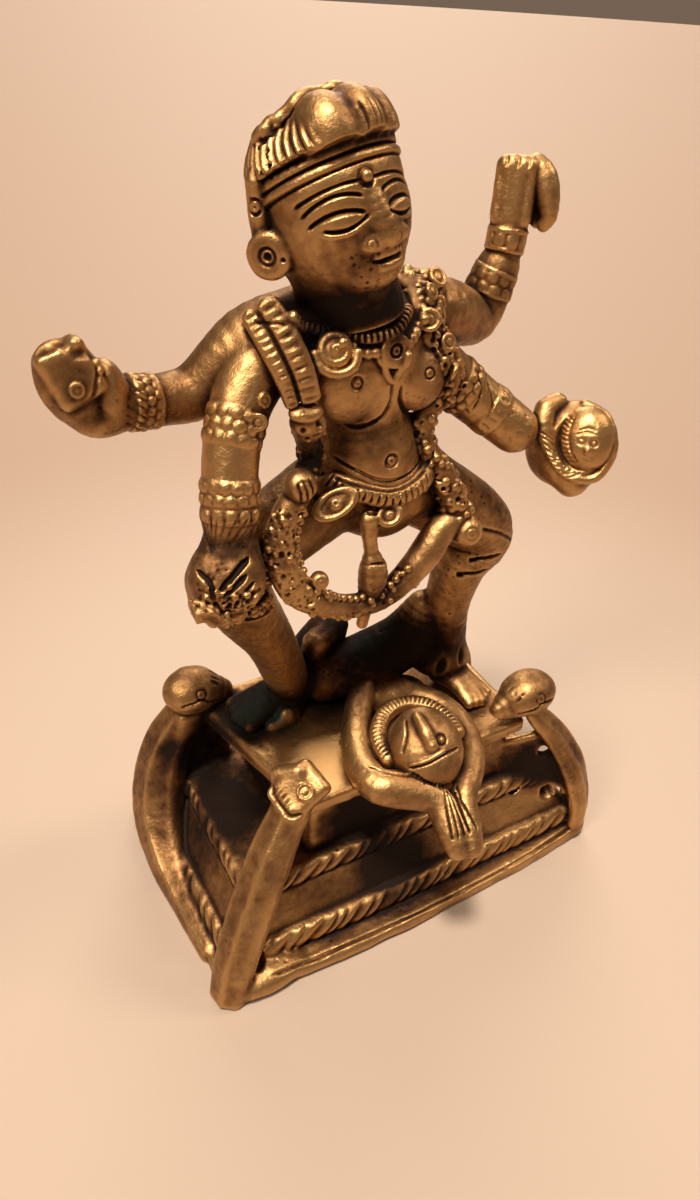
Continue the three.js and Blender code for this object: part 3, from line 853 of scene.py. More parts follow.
def make_left_hands(clay):
    """Her upper left hand is a fist with one hooked finger. The lower one holds a head in a cup."""
    spot, line = placer(FIST, FIST_AXES)
    clay.add(sweep([[20.2, 5, 75.4, 3.2]] + line((-0.2, -8.6, 0, 2.6), (0, -5, 0, 2.8))), 0.3)
    clay.add(block(spot(0.1, -0.2, 0), (3.0, 4.8, 2.8), 1.6, FIST_AXES), 0.3)
    finger = line((2.6, 3.4, 0, 1.7), (4.0, 1.8, 0.3, 2.0), (5.0, -0.8, 0.6, 1.7),
                  (5.5, -3.0, 0.8, 1.2), (4.9, -4.2, 0.6, 1.0))
    clay.add(sweep(finger), 0.25)
    clay.add(ball(spot(4.0, -2.4, -1.2), (1.6, 2.4, 1.3), FIST_AXES), 0.2)

    # Fingers of the fist
    for a in (-1.6, 0.0, 1.5):
        groove(clay, line((a, 4.8, 1.6), (a + 0.1, 3.9, 3), (a + 0.1, 2.8, 3)), 0.3, 0.25)
    groove(clay, line((-2.1, 2.6, 3), (-1.9, -0.6, 3), (-1.8, -4.4, 3)), 0.8, 0.3, 0.5)
    groove(clay, line((1.7, 2.4, 3), (1.6, -1.6, 3), (1.4, -4.4, 3)), 0.8, 0.3, 0.5)
    wrist = line((0, -4.8, 0, 2.8), (-0.1, -6.6, 0, 2.75), (-0.3, -8.4, 0, 2.7))
    band(clay, wrist, 0.5, 3.0, 0.4, 1, 9, 0.9, 0.6, 10)

    spot, line = placer(CUP, CUP_AXES)
    clay.add(ball(CUP, (6.3, 7.0, 4.4), CUP_AXES), 0.3)
    clay.add(ball(spot(-1.6, -0.6, -1.5), (5.6, 6.0, 4.0), CUP_AXES), 0.5)
    clay.add(ball(spot(0.9, -5.4, -0.2), (2.7, 2.5, 3.0), CUP_AXES), 0.5)
    clay.cut(ball(spot(1.6, 0.9, 5.0), (4.9, 5.6, 3.0), CUP_AXES), 0.2)
    clay.add(sweep(line(*((*place, 0.75) for place in CUP_RIM))), 0.3)
    thumb = line((-3.6, 6.0, 1.2, 1.6), (-5.0, 4.6, 2.2, 1.8), (-4.9, 2.6, 2.9, 1.7),
                 (-4.0, 0.6, 3.2, 1.2), (-3.0, -1.6, 3.2, 0.8))
    clay.add(sweep(thumb), 0.3)

    # The held head: nose, mouth, eyes and hair
    clay.add(ball(spot(1.9, 1.3, 2.0), (4.2, 5.0, 3.2), CUP_AXES @ turn((0, 0, 14))), 0.15)
    clay.add(ball(spot(2.4, -0.4, 4.6), (0.7, 0.9, 0.8), CUP_AXES), 0.3)
    clay.add(ball(spot(2.7, -1.7, 4.2), (1.0, 0.45, 0.5), CUP_AXES), 0.2)
    groove(clay, line((1.8, -1.8, 5), (2.8, -2.1, 5), (3.6, -1.9, 5)), 0.2, 0.25)
    for b, reach in ((2.6, 1.3), (2.0, 1.5)):
        brow = line((1.8 - reach, b - 0.3, 5), (1.9, b + 0.3, 5), (1.8 + reach, b, 5))
        groove(clay, brow, 0.22, 0.24)
    for a in (1.2, 3.2):
        punch(clay, spot(a, 0.8, 5), 0.45, 0.18, 0.25)
    hairline = line((-1.4, 4.2, 4), (-1.5, 2, 4), (-0.9, -0.4, 4), (0.5, -2.6, 4))
    strokes(clay, hairline, 1.3, 0.75, 0.2, 0.26, 0.5)
    groove(clay, line((-0.5, 4.4, 4), (-0.5, 2, 4), (0, -0.2, 4), (1.2, -2.2, 4)), 0.26, 0.28)
    strokes(clay, line((-3.6, 0.8, 5), (-2.6, -1.8, 5), (-0.8, -3.8, 5), (1.2, -4.8, 5)),
            2.2, 0.85, 0.24, 0.3, 0.7)


RIGHT_SHOULDER_STRAP = [
    [-21.9, -2.6, 76.4, 2.6], [-21.1, -4.6, 74.4, 2.7], [-20.4, -6.3, 72.2, 2.7],
    [-19.5, -7.4, 69.6, 2.6], [-18.6, -7.8, 66.4, 2.4],
]
RIGHT_WAIST_STRAP = [
    [-18.2, -7.6, 63, 1.9], [-16.8, -6.2, 59.6, 1.7], [-16, -5.8, 56.4, 1.7],
    [-18.6, -8, 53.6, 1.9], [-21.2, -8.6, 50.4, 2], [-22.2, -8.8, 46.6, 2.2],
    [-21.9, -9, 43, 2.3],
]
LEFT_SHOULDER_STRAP = [
    (3.2, 1, 77.8), (3.2, -2.6, 77), (2.6, -5.2, 75), (3.2, -6.2, 72.4), (4.6, -6.4, 69.2),
    (5.8, -6.2, 65.8), (6, -5.2, 62.4),
]
LEFT_WAIST_STRAP = [
    [4.8, -4.4, 64.6, 2], [3.6, -4.6, 60.5, 1.8], [2.2, -4.8, 57, 1.8], [2.8, -5.6, 54, 1.9],
    [5.6, -6.8, 49.6, 2.1], [8, -7.4, 45, 2.1], [9.6, -7.8, 41, 2],
]
LEFT_STRAP_BUTTONS = (
    ((5, -1.4, 77.4), 1.5), ((3, -4, 77), 1.2), ((0.9, -7.2, 73.8), 1.6),
    ((4.2, -7.2, 70.6), 1.3), ((4.6, -7.4, 66.4), 1.4),
)
COLLAR = [
    (-18.8, -5.4, 76), (-15.2, -6, 74.4), (-12.2, -6.2, 73.3), (-9.3, -6.2, 72.6),
    (-6.2, -6.2, 72.4), (-4.6, -5.8, 73.2), (-2.8, -5, 74.4),
]
NECKLACE_RIGHT = [(-13.2, -7.6, 72.6), (-11.2, -7.6, 71.6), (-9.8, -7.7, 71), (-8.2, -7.8, 71)]
NECKLACE_LEFT = [(-3.4, -7.8, 71.4), (-2, -7.2, 72.2), (-0.6, -6.2, 73.2), (0.8, -5.6, 74.2)]
PENDANT_EDGE = [
    (-7.8, -8.4, 70.2), (-7, -8.8, 68.6), (-5.6, -8.8, 66.9), (-4.6, -8.9, 68.6), (-3.9, -9, 70.4),
]
RIGHT_BREAST_EDGE = [
    (-5.4, -8, 66.8), (-5, -7.6, 63.8), (-6.1, -7.3, 61.6), (-7.9, -6.9, 60.5), (-10.3, -6, 60),
    (-12.4, -4.4, 60.6),
]
LEFT_BREAST_EDGE = [(-3.6, -7.8, 65.6), (-3.2, -7, 63.2), (-1.6, -6, 61), (0.9, -5.6, 60.2)]
HEM = [
    (-12.4, -5, 55.4), (-9.6, -7.5, 53.9), (-6.6, -8.6, 52.6), (-3.4, -8.6, 52.2),
    (0.2, -7.6, 52.8), (2.4, -6, 54.2),
]
LOOP = [
    [-21.9, -9, 43.4, 2.3], [-20.6, -9.6, 39, 2.3], [-17.4, -9.9, 35.8, 2.1],
    [-11.6, -9.8, 32.8, 1.9], [-5.4, -9.4, 32.2, 1.9], [-0.6, -9, 34.6, 2.2],
    [2.7, -8.8, 37.8, 2.5], [5.6, -8.2, 41, 2.4], [9, -7.8, 42.6, 2.2],
]
BELT = [
    (-13.4, -5.6, 51.8), (-10.8, -7.8, 51.2), (-8, -8.8, 50.3), (-5.4, -9.2, 49.7),
    (-2.4, -8.8, 49.8), (0.8, -7.6, 50.6), (3.4, -5.8, 51.8),
]


def shoulder_section(s, u, v, w, size):
    """A strap of two bands: an inner one with cross ribs, and a narrow beaded outer one."""
    ribs = 0.38 * np.sqrt(wave(s, 1.25) + 0.03) * bump(u + 0.9, 1.5)
    pearls = 0.3 * wave(s, 0.95) * bump(u - 1.5, 0.9)
    gap = 0.5 * bump(u - 0.45, 0.38)
    across = np.maximum(np.abs(u) - size + 0.5, 0)
    through = np.maximum(np.abs(v + 0.8) - 1.8 + 0.5, 0)
    return np.sqrt(across ** 2 + through ** 2 + w * w) - 0.5 - ribs - pearls + gap


def make_body_ornaments(clay):
    """The garland's two straps, and her collar, brooch, necklaces, pendant and bodice."""
    clay.add(sweep(RIGHT_SHOULDER_STRAP, shoulder_section, out=(-0.35, -0.85, 0.4), bulk=1.3), 0.15)
    groove(clay, [(-23.4, -4.0, 76.2), (-21.9, -5.0, 75.6), (-20.2, -5.0, 75.4)], 0.25, 0.3)
    clay.add(ball((-18.3, -8.3, 64.7), (2.4, 1.6, 1.0), turn((20, 0, 0))), 0.15)
    clay.add(ball((-17.2, -7.6, 62.2), (2.2, 1.6, 2.0)), 0.3)
    punch(clay, (-17.1, -9, 62.4), 0.8, 0.26, 0.35, 0.3)
    clay.add(sweep(RIGHT_WAIST_STRAP[:4]), 0.4)
    crust(clay, RIGHT_WAIST_STRAP[:4], 1.8, 70, 0.6, 31)

    strap, outward = laid(clay, LEFT_SHOULDER_STRAP, 0.1, 2.3, spacing=1.2)
    for step, (place, out) in enumerate(zip(strap[:, :3], outward)):
        clay.add(ball(place, (3.9 - 0.13 * step, 3.0, 1.0), facing(out)), 0.3)
    clay.add(sweep(LEFT_WAIST_STRAP[:4]), 0.4)
    crust(clay, LEFT_SHOULDER_STRAP, 2.4, 330, 0.55, 32, 0.4)
    crust(clay, LEFT_WAIST_STRAP[:4], 1.8, 70, 0.6, 33)
    for spot, size in LEFT_STRAP_BUTTONS:
        boss(clay, spot, size, 0.6)

    rope_on(clay, COLLAR, 0.85, 0.25, 0.85)
    brooch = facing((-0.3, -0.84, 0.45))
    middle = np.array([-13.9, -7.3, 72.0])
    clay.add(disc(middle, 2.3, 0.9, 0.7, brooch), 0.25)
    clay.cut(ring(middle + brooch[:, 2] * 1.0, 1.3, 0.24, brooch), 0.1)
    clay.add(ball(middle + brooch[:, 2] * 0.7, 0.8), 0.1)
    clay.cut(ball(middle + brooch[:, 2] * 1.5, 0.24), 0.1)
    _, line = placer(middle, brooch)
    petal = ((-2.6, -0.6), (-1.8, -2.4), (0.4, -3.1), (2.4, -2.2), (2.9, -0.4))
    clay.add(sweep(line(*((a, b, 0.3, 0.6) for a, b in petal))), 0.2)
    beads(clay, NECKLACE_RIGHT, 0.72, 1.05)
    beads(clay, NECKLACE_LEFT, 0.78, 1.15)
    boss(clay, (-5.6, -8.2, 71.0), 2.3, 0.7, ringed=False)
    welt(clay, PENDANT_EDGE, 0.55, 0.1, 0.15)
    punch(clay, (-5.6, -9, 71.2), 0.8, 0.24, 0.35, 0.3)
    for spot in ((-10.9, -9.2, 67.6), (0.5, -9.0, 67.2)):
        punch(clay, spot, 0.75, 0.24, 0.35, 0.3)
    groove(clay, RIGHT_BREAST_EDGE, 0.36, 0.38)
    groove(clay, LEFT_BREAST_EDGE, 0.36, 0.38)
    punch(clay, (-4.9, -8.5, 55.2), 0.85, 0.3, 0.4, 0.35)
    groove(clay, HEM, 0.3, 0.35)
    pits(clay, (-14, -10, 58), (4, -5, 72), 70, 0.17, 41)


def make_body():
    clay = Clay((-51, -16.5, 38), (39.5, 12, 91.5), BODY_STEP)
    make_torso(clay)
    make_arms(clay)
    make_right_hands(clay)
    make_left_hands(clay)
    make_body_ornaments(clay)
    clay.field += 0.05 * grain(clay, 1.1, 5)
    return clay


RIGHT_LEG = [
    [-8, 1, 47.5, 6.6], [-27.4, -3, 39.6, 5.6], [-25.4, -2, 33, 5.2], [-19.4, 1.2, 21.6, 4.2],
    [-15, 4.4, 10.8, 3.9], [-12.8, 6.8, 5, 3.7], [-12.4, 7.6, 1.2, 3.4],
]
LEFT_LEG = [
    [5, 1, 45.4, 6.6], [19, -1.1, 34.4, 5.7], [16.8, -0.4, 27, 4.7], [15.8, 0.6, 18, 4.1],
    [16.6, 1.4, 7.4, 4.4],
]
SASH = [
    [-8, -9, 46.6, 1.6], [-8, -9.2, 44.2, 1.2], [-7.6, -9.4, 41.4, 1.1], [-7.3, -9.8, 38.6, 2.1],
    [-7.2, -9.6, 36.2, 2.2], [-7.5, -9, 32, 1.3], [-7.4, -8, 27, 0.9],
]
GARLAND_KNOBS = ((-19.2, -8.8, 54.6, 2.3), (-16.8, -10.6, 39.6, 1.4), (9.6, -9.4, 40.4, 2.5))
MOUND = [[12, 2.6, 17, 3], [9, 3.4, 10, 5], [2, 5, 6, 5.4], [-6, 6, 5, 5]]


def make_foot(clay, heel, toes, spread):
    """A worn foot: a sloping fan from the heel, cut into five toes."""
    heel, toes = np.array(heel, float), np.array(toes, float)
    run = (toes - heel)[:3]
    run /= np.linalg.norm(run)
    side = np.array([-run[1], run[0], 0])
    for i in range(-2, 3):
        tip = toes[:3] + side * (i * spread) - run * 0.4 * abs(i)
        middle = (heel[:3] + tip) / 2 + np.array([0, 0, heel[3] * 0.2])
        clay.add(sweep([[*(heel[:3] + side * i * 0.5), heel[3]], [*middle, (heel[3] + toes[3]) / 2],
                        [*tip, toes[3]]]), 0.3, margin=1.2)


def make_garland(clay):
    """The rest of the garland, from her waist down and across her thighs: crusted, with beads above."""
    clay.add(sweep(RIGHT_WAIST_STRAP[3:]), 0.3)
    clay.add(sweep(LEFT_WAIST_STRAP[3:]), 0.3)
    clay.add(sweep(LOOP), 0.3)
    right_side = RIGHT_WAIST_STRAP[4:] + LOOP[1:3]
    crust(clay, right_side, 2.6, 170, 0.55, 61, 0.5)
    pits(clay, (-25, -12.6, 36), (-18.4, -8, 52), 200, 0.26, 62)
    crust(clay, LOOP[2:6], 2.0, 70, 0.5, 63, 0.6)
    crust(clay, LEFT_WAIST_STRAP[3:], 2.4, 150, 0.7, 64, 0.25)
    beads(clay, moved(right_side, 2.0, -0.6, 0.4), 0.62, 1.35)
    beads(clay, moved(LOOP[2:6], 0, -0.6, 1.6), 0.62, 1.35)
    for x, z in ((-12.4, 31.8), (-9.4, 31.2), (-6.4, 31.2)):
        clay.add(ball((x, -9.8, z), (0.9, 0.9, 1.2)), 0.2)
    for x, y, z, radius in GARLAND_KNOBS:
        clay.add(ball((x, y, z), radius), 0.2)
        punch(clay, (x - radius * 0.2, y - radius, z + radius * 0.3), radius * 0.42, 0.24, 0.34, 0.3)
    x, y, z, _ = GARLAND_KNOBS[0]
    for tilt in (-0.9, 0, 0.9):
        groove(clay, [(x + tilt - 0.5, y - 1.6, z + 1.7), (x + tilt * 1.3, y - 2.4, z),
                      (x + tilt + 0.3, y - 1.6, z - 1.7)], 0.22, 0.3)


def make_belt(clay):
    """A rope belt between two lines, and two oval clasps."""
    rope_on(clay, BELT, 1.6, 0.5, 1.15)
    for lift in (2.0, -2.0):
        groove(clay, moved(BELT, 0, -1, lift), 0.26, 0.34)
    for spot, size, oval in (((-13.4, -8.2, 50.0), 2.7, 1.8), ((-5.4, -10.0, 47.2), 2.1, 1.25)):
        clay.add(sweep([[spot[0] + 1, -5, spot[2], size * 0.7], [*spot, size * 0.5]]), 0.5)
        axes = KNEE_HAND_AXES @ turn((0, 0, -60))
        out = axes[:, 2]
        clay.add(ball(spot, (size * 0.75, size * 0.75 * oval, 0.9), axes), 0.2)
        clay.add(ring(spot + out * 0.6, size * 0.6, 0.4, axes, oval), 0.1)
        clay.add(ball(spot + out * 0.6, size * 0.34), 0.1)
        clay.cut(ball(spot + out * (0.8 + size * 0.3), size * 0.16), 0.1)


def make_legs():
    """Her hips, legs and feet, the mound of metal between them, sash, trouser hem, garland and belt."""
    clay = Clay((-37, -15, -0.6), (27, 13.5, 57.5), BODY_STEP)
    clay.add(ball((-1, 0.4, 46.5), (12, 7.6, 7)), margin=BULK_MARGIN)
    clay.add(sweep([[-4.6, -1.2, 53, 7.7], [-2, 0, 46.5, 8.2]]), 1.0, margin=BULK_MARGIN)
    clay.add(sweep(RIGHT_LEG), 1.2, margin=2)
    clay.add(sweep(LEFT_LEG), 1.2, margin=2)
    make_foot(clay, (-13.6, 7.4, 2.8, 2.8), (-23, 6.6, 1.0, 1.2), 1.7)
    make_foot(clay, (16.8, 0, 2.6, 2.6), (19.0, -9.4, 1.0, 1.0), 1.2)
    clay.add(ball((15.4, 0.6, 6.4), (6.4, 4.8, 4.6), turn((0, 20, 0))), 1.0)

    # The mound that joins her left foot to the slab, with two holes
    clay.add(sweep(MOUND), 1.0)
    pits(clay, (-10, -4, 4), (14, 6, 20), 60, 0.3, 70)
    clay.cut(ball((13.0, -4.6, 6.6), (1.3, 1.6, 3.6), turn((0, 10, 0))), 0.4)
    clay.cut(ball((18.0, -4.4, 8.4), (1.2, 1.6, 2.6), turn((0, 10, 0))), 0.4)
    clay.add(ball((-15.4, 2.6, 1.2), (1.5, 1.5, 2.0)), 0.6)
    clay.add(sweep([[-12.6, 7, 1, 3], [-15, 3.4, 0.4, 2.0], [-18, 2.6, 0, 1.4]]), 0.8)

    # Sash
    clay.add(sweep(SASH), 0.3)
    groove(clay, [(-9.2, -11, 40.2), (-7.4, -11.6, 40.4), (-5.4, -11, 40)], 0.2, 0.26)
    pits(clay, (-10, -13, 33), (-4, -8, 41), 24, 0.2, 71)

    # Hem under her right knee, and folds over her left one
    _, line = placer(KNEE_HAND, KNEE_HAND_AXES)
    knee_hem = line((-5.4, -5.4, 2.6), (-2.6, -7.0, 2.6))
    knee_hem += [(-28.4, -9.6, 36.4), (-25.4, -8.6, 35.6), (-22.4, -7.4, 35.6)]
    welt(clay, knee_hem, 1.1, -0.2, 0.4)
    crust(clay, knee_hem, 2.2, 190, 0.5, 65, 0.55)
    crust(clay, [(-30, -12, 41), (-25, -10.4, 41), (-22, -9.6, 39)], 2.6, 110, 0.4, 68, 0.7)
    groove(clay, moved(knee_hem, 0.6, 0.4, -2.4), 0.28, 0.34)
    for x, y, z in ((9.4, -6.4, 31.4), (7.6, -5.6, 28.2)):
        groove(clay, [(x, y, z), (x + 5.6, y - 1, z - 0.6), (x + 11, y - 1, z - 0.4)], 0.42, 0.5)
    groove(clay, [(14, -6.6, 38), (19, -7, 36), (23.4, -5.4, 32.6)], 0.3, 0.3, 0.3)
    make_garland(clay)
    make_belt(clay)
    pits(clay, (-34, -10, 10), (-12, -2, 38), 90, 0.2, 66)
    pits(clay, (4, -12, 28), (26, -2, 46), 110, 0.24, 72)
    pits(clay, (6, -8, 10), (26, 0, 42), 90, 0.2, 67)
    clay.field += 0.06 * grain(clay, 1.1, 6)
    return clay


# Pedestal, in millimetres
PEDESTAL_STEP = 0.24
RIM_HEIGHT = 2.6
RIM_BOW = 2.2
LOWER_ROPE_TOP = 6.6
BAND_TOP = 11.6
UPPER_ROPE_TOP = 14.8
DADO_TOP = 26.0
RIM_HALF = (36.5, 22.5)
LOWER_ROPE_HALF = (34.3, 20.3)
BAND_FOOT_HALF = (33.3, 19.3)
UPPER_ROPE_HALF = (29.6, 15.6)
DADO_HALF = (19.3, 13.25)
SLAB_HALF = (21.3, 15.25)
SLAB_SHIFT = 1.5
ROPE_PITCH = 2.6
TIER_CORNER = 1.5


def tier(half_x, half_y, foot, head, soft, shift=0.0, lean=0.0, bow=0.0, rope=0.0):
    """A rectangular level of the plinth. It can lean in, bow out along its long sides, or be a rope."""
    middle, tall = (foot + head) / 2, (head - foot) / 2

    def distance(x, y, z):
        px = x - shift
        inward = lean * (z - foot) / (head - foot)
        long_half = half_y - inward + bow * (1 - (px / half_x) ** 2)
        dx = np.abs(px) - half_x + inward + TIER_CORNER
        dy = np.abs(y) - long_half + TIER_CORNER
        side = within(dx, dy) - TIER_CORNER
        if rope:
            t = np.clip((z - middle) / tall, -1, 1)
            along = np.where(np.abs(px) / half_x > np.abs(y) / half_y, y, px) - z * 0.9
            along = along + 0.4 * np.sin(along * 0.9) + 0.5 * np.sin(along * 0.37 + 1)
            strands = np.sqrt(wave(along, rope) + 0.03)
            side = side + 0.4 * tall * (1 - np.sqrt(1 - t * t)) - 0.7 * strands * (1 - 0.4 * t * t)
        return within(side + soft, np.abs(z - middle) - tall + soft) - soft

    reach = np.array([half_x + 1, half_y + bow + 1, 0])
    return np.array([shift, 0, foot]) - reach, np.array([shift, 0, head]) + reach, distance


def ridged_section(s, u, v, w, size):
    """A strap whose outer face has two facets that meet in a soft ridge."""
    soft = 0.9
    outer = v * 0.9 + np.abs(u - 0.3) * 0.4 - 0.72 * size
    out = [outer + soft, np.abs(u) - size + soft, -v - 0.45 * size + soft]
    free = np.sqrt(sum(np.maximum(p, 0) ** 2 for p in out) + w * w)
    return free + np.minimum(np.maximum(np.maximum(out[0], out[1]), out[2]), 0) - soft


# Straps, front left, front right, back left and back right: outward direction, blend, path
STRAPS = (
    ((-1, -0.6, 0.3), 0.6, [
        [-36.0, -22.0, 0.6, 3.0], [-34.2, -20.8, 6, 3.3], [-30.4, -18.8, 14, 3.6],
        [-26.2, -16.6, 22, 3.4], [-21.6, -14.6, 29.5, 2.9],
    ]),
    ((1, -0.5, 0.3), 0.6, [
        [34.6, -20.2, 1.6, 3.2], [34.6, -19.6, 8, 3.5], [32.6, -17.8, 16, 3.7],
        [28.8, -15.6, 23.5, 3.2], [24.6, -13.6, 28.6, 2.4], [23.6, -13.4, 31, 1.6],
    ]),
    ((-1, -0.5, 0.6), 0.9, [
        [-35.6, -14, 1.2, 2.2], [-35.8, -5, 1.8, 2.9], [-35.8, 3, 3.6, 3.8], [-35.2, 9.4, 8, 4.7],
        [-33.6, 13, 14, 4.8], [-31.2, 14.2, 20.5, 4.3], [-28.2, 14, 25.8, 3.6],
        [-25.4, 13.4, 30.4, 2.6],
    ]),
    ((1, 0.6, 0.3), 0.6, [
        [34.0, 20.0, 2.6, 3.0], [34.4, 18.8, 9, 3.2], [31.6, 17.4, 17, 3.4], [26, 15.2, 24, 3.2],
        [19.6, 13.65, 29.5, 2.7],
    ]),
)


def make_straps(clay):
    """Four straps from the corners of the base to the slab, and the thin webs inside two of them."""
    for out, blend, path in STRAPS:
        clay.add(sweep(path, ridged_section, out=out), blend, margin=1.0)
    clay.add(ball((-35, 16.4, 3.4), (2.8, 4.6, 4.4)), 2.0)
    clay.add(block((25.6, -15.2, 15.5), (5.8, 0.8, 8.5), 0.7, turn((0, -18, -26))), 1.2)
    clay.add(block((-25.0, 12.6, 20.5), (6.0, 0.8, 6.5), 0.7, turn((0, 14, 10))), 1.2)
    random = np.random.default_rng(5)
    for along, height, size in ((1.5, 4.0, 1.3), (4.4, -6.0, 1.4), (-3.4, -4.5, 1.5)):
        spot = np.array([26.2 + along * 0.9, -15.4 - along * 0.44, 16.5 + height])
        for shift in random.normal(0, 0.5, (3, 3)):
            clay.cut(ball(spot + shift, (size, 2.2, size), turn((0, 20, -26))), 0.3)


TOWARDS_CAMERA = facing((-0.46, -0.5, 0.73))


def make_bird(clay, head, side, end):
    """A bird's head that rests its beak on the slab, with a ringed eye and a line for its jaw."""
    beak = head + np.array([-side * 5.4, -end * 0.2, -1.7])
    clay.add(ball(head, (4.9, 4.1, 3.8)), 0.5)
    clay.add(sweep([[*head, 3.2], [*((head + beak) / 2), 2.9], [*beak, 1.7]]), 0.6)
    jaw = ((3.2, -0.2), (0.8, 0.4), (-2.0, -0.4), (-4.4, -1.6))
    for across in (-1, 1):
        punch(clay, head + np.array([-side * 0.4, across * 3.6, 1.6]), 0.85, 0.26, 0.36, 0.35)
        upper = [head + np.array([side * a, across * 3.2, b]) for a, b in jaw]
        lower = [head + np.array([side * a, across * 3.0, b - 1.3]) for a, b in jaw[:3]]
        groove(clay, upper, 0.32, 0.36)
        groove(clay, lower, 0.26, 0.28)
    crest = [head + np.array([-side * 3.4, y, 1.6]) for y in (-2, 2)]
    strokes(clay, crest, 1.8, 0.9, 0.24, 0.26)


def make_leaf_head(clay, head):
    """The front left head, cast as a flat leaf with a ringed eye."""
    axes = TOWARDS_CAMERA @ turn((0, 0, -14))
    spot, line = placer(head, axes)
    clay.add(block(spot(0.4, 0.2, 0.2), (3.2, 4.2, 1.7), 1.2, axes @ turn((0, 0, -24))), 0.8)
    clay.add(block(spot(-0.8, 0.2, 0), (2.8, 3.4, 1.7), 1.0, axes @ turn((14, -16, 30))), 0.6)
    clay.add(ball(spot(0.6, -3.4, -1), (2.6, 3.2, 2.2), axes), 0.9)
    groove(clay, line((-3.8, -0.6, 2), (-1.6, -2.6, 2.6), (1.2, -3.6, 2.6), (3.4, -2.8, 2)), 0.4, 0.45)
    boss(clay, spot(1.7, 0.6, 2.4), 1.35, 0.5)
    punch(clay, spot(1.7, 0.6, 2.8), 0.7, 0.24, 0.34, 0.3)
    strokes(clay, line((-2.6, -1.2, 2.6), (0.4, -2.2, 2.8)), 1.4, 0.9, 0.22, 0.24)


def make_plinth():
    """Six levels, the slab's ledge under her right foot, the straps and their four heads."""
    clay = Clay((-39.5, -26.5, -0.7), (40.5, 26.5, 37), PEDESTAL_STEP)
    clay.add(tier(*RIM_HALF, 0, RIM_HEIGHT, 0.7, bow=RIM_BOW), margin=1.2)
    lower_rope = tier(*LOWER_ROPE_HALF, RIM_HEIGHT - 0.4, LOWER_ROPE_TOP, 0.3, bow=0.6, rope=ROPE_PITCH)
    clay.add(lower_rope, 0.2)
    clay.add(tier(*BAND_FOOT_HALF, LOWER_ROPE_TOP - 0.4, BAND_TOP, 0.4, lean=3.2), 0.2)
    clay.add(tier(*UPPER_ROPE_HALF, BAND_TOP - 0.3, UPPER_ROPE_TOP, 0.3, rope=ROPE_PITCH), 0.2)
    clay.add(tier(*DADO_HALF, UPPER_ROPE_TOP - 0.4, DADO_TOP + 0.4, 0.5, shift=SLAB_SHIFT), 0.6)
    clay.add(tier(*SLAB_HALF, DADO_TOP, SLAB_TOP, 0.7, shift=SLAB_SHIFT), 0.4)
    clay.add(block((-19.8, 3, SLAB_TOP - 1.7), (3.2, 12, 1.7), 0.9, turn((0, 0, 13))), 0.5)

    # Straps and the heads on them
    make_straps(clay)
    make_leaf_head(clay, np.array([-20.4, -13.8, 31.2]))
    make_bird(clay, np.array([23.2, -13.4, 33.2]), 1, -1)
    make_bird(clay, np.array([-26.2, 13.6, 31.6]), -1, 1)
    make_bird(clay, np.array([18.6, 13.6, 31.4]), 1, 1)

    # The rim, worn at the front
    clay.add(ball((-29.8, -21.7, 1.9), (7.2, 3.6, 2.3)), 0.8)
    clay.cut(ball((-30.9, -20.6, 5.2), (1.7, 2.6, 2.1), turn((0, -30, 0))), 0.3)
    front_rim = [[-33, -22.2, 1.5, 1.4], [-20, -23.8, 1.3, 1.3], [-4, -24.0, 1.3, 1.2],
                 [14, -23.1, 1.3, 1.2], [34, -21.2, 1.4, 1.4]]
    clay.add(sweep(front_rim), 0.6)
    rim_line = [(-29, -23.6, 3.0), (-16, -24, 2.7), (0, -24.4, 2.7), (18, -23.8, 2.7), (33, -22, 2.7)]
    groove(clay, rim_line, 0.3, 0.35)
    pits(clay, (-39, -26, 0), (40, -12, 14), 130, 0.26, 81)
    pits(clay, (-24, -16, 26), (26, 14, 29), 60, 0.24, 82)
    clay.field += 0.08 * grain(clay, 1.6, 8) + 0.16 * grain(clay, 6, 9)
    clay.cut(block((0, 0, -4), (60, 50, 4), 0.05), 0.05)
    return clay


def from_millimetres(points):
    """The plinth is modelled in millimetres already."""
    return points


# Devotee, in his own units of 0.4 mm, lying on the slab with joined hands over its edge
UNIT = 0.4
DEVOTEE_ORIGIN = (SLAB_SHIFT, -15.25, SLAB_TOP)
DEVOTEE_STEP = 0.17 / UNIT
# His arms: each from its shoulder round his head to the joined hands
LEFT_OF_HIM = [
    [-1, 45, 12, 4.6], [-8, 37, 9, 5.4], [-17.4, 24, 6, 6], [-24.6, 10, 5, 6.2],
    [-26.5, 1, 5, 6.4], [-25, -7.2, 5, 6.8], [-16.9, -11.4, 3, 7.2], [-6.5, -19.2, 0, 6],
    [-6, -30, -7, 5.6], [-6, -35, -11, 4.6],
]
RIGHT_OF_HIM = [
    [11, 35, 6, 5.6], [20, 23.5, 5, 5], [23.2, 11, 5, 4.8], [20, -4.7, 4, 4.8],
    [12.6, -15, 3, 5], [4.4, -22, 0, 5.2], [0.6, -32, -7, 5.2], [-0.6, -37, -11, 4.4],
]
HAIR_RING = [
    (-16.6, 1, 8), (-16.4, 7, 9), (-13.6, 13.6, 10), (-7, 20, 11), (3.5, 22.2, 11),
    (11.6, 17.6, 11), (15.6, 9, 10), (15.4, 0.5, 9),
]
HIS_HEAD = (-2.4, -3.7, 11.5)
HIS_HEAD_AXES = facing((-0.42, -0.55, 0.72)) @ turn((0, 0, 20))


def limb(points, reach=3.2):
    return sweep(points, spacing=4, reach=reach)


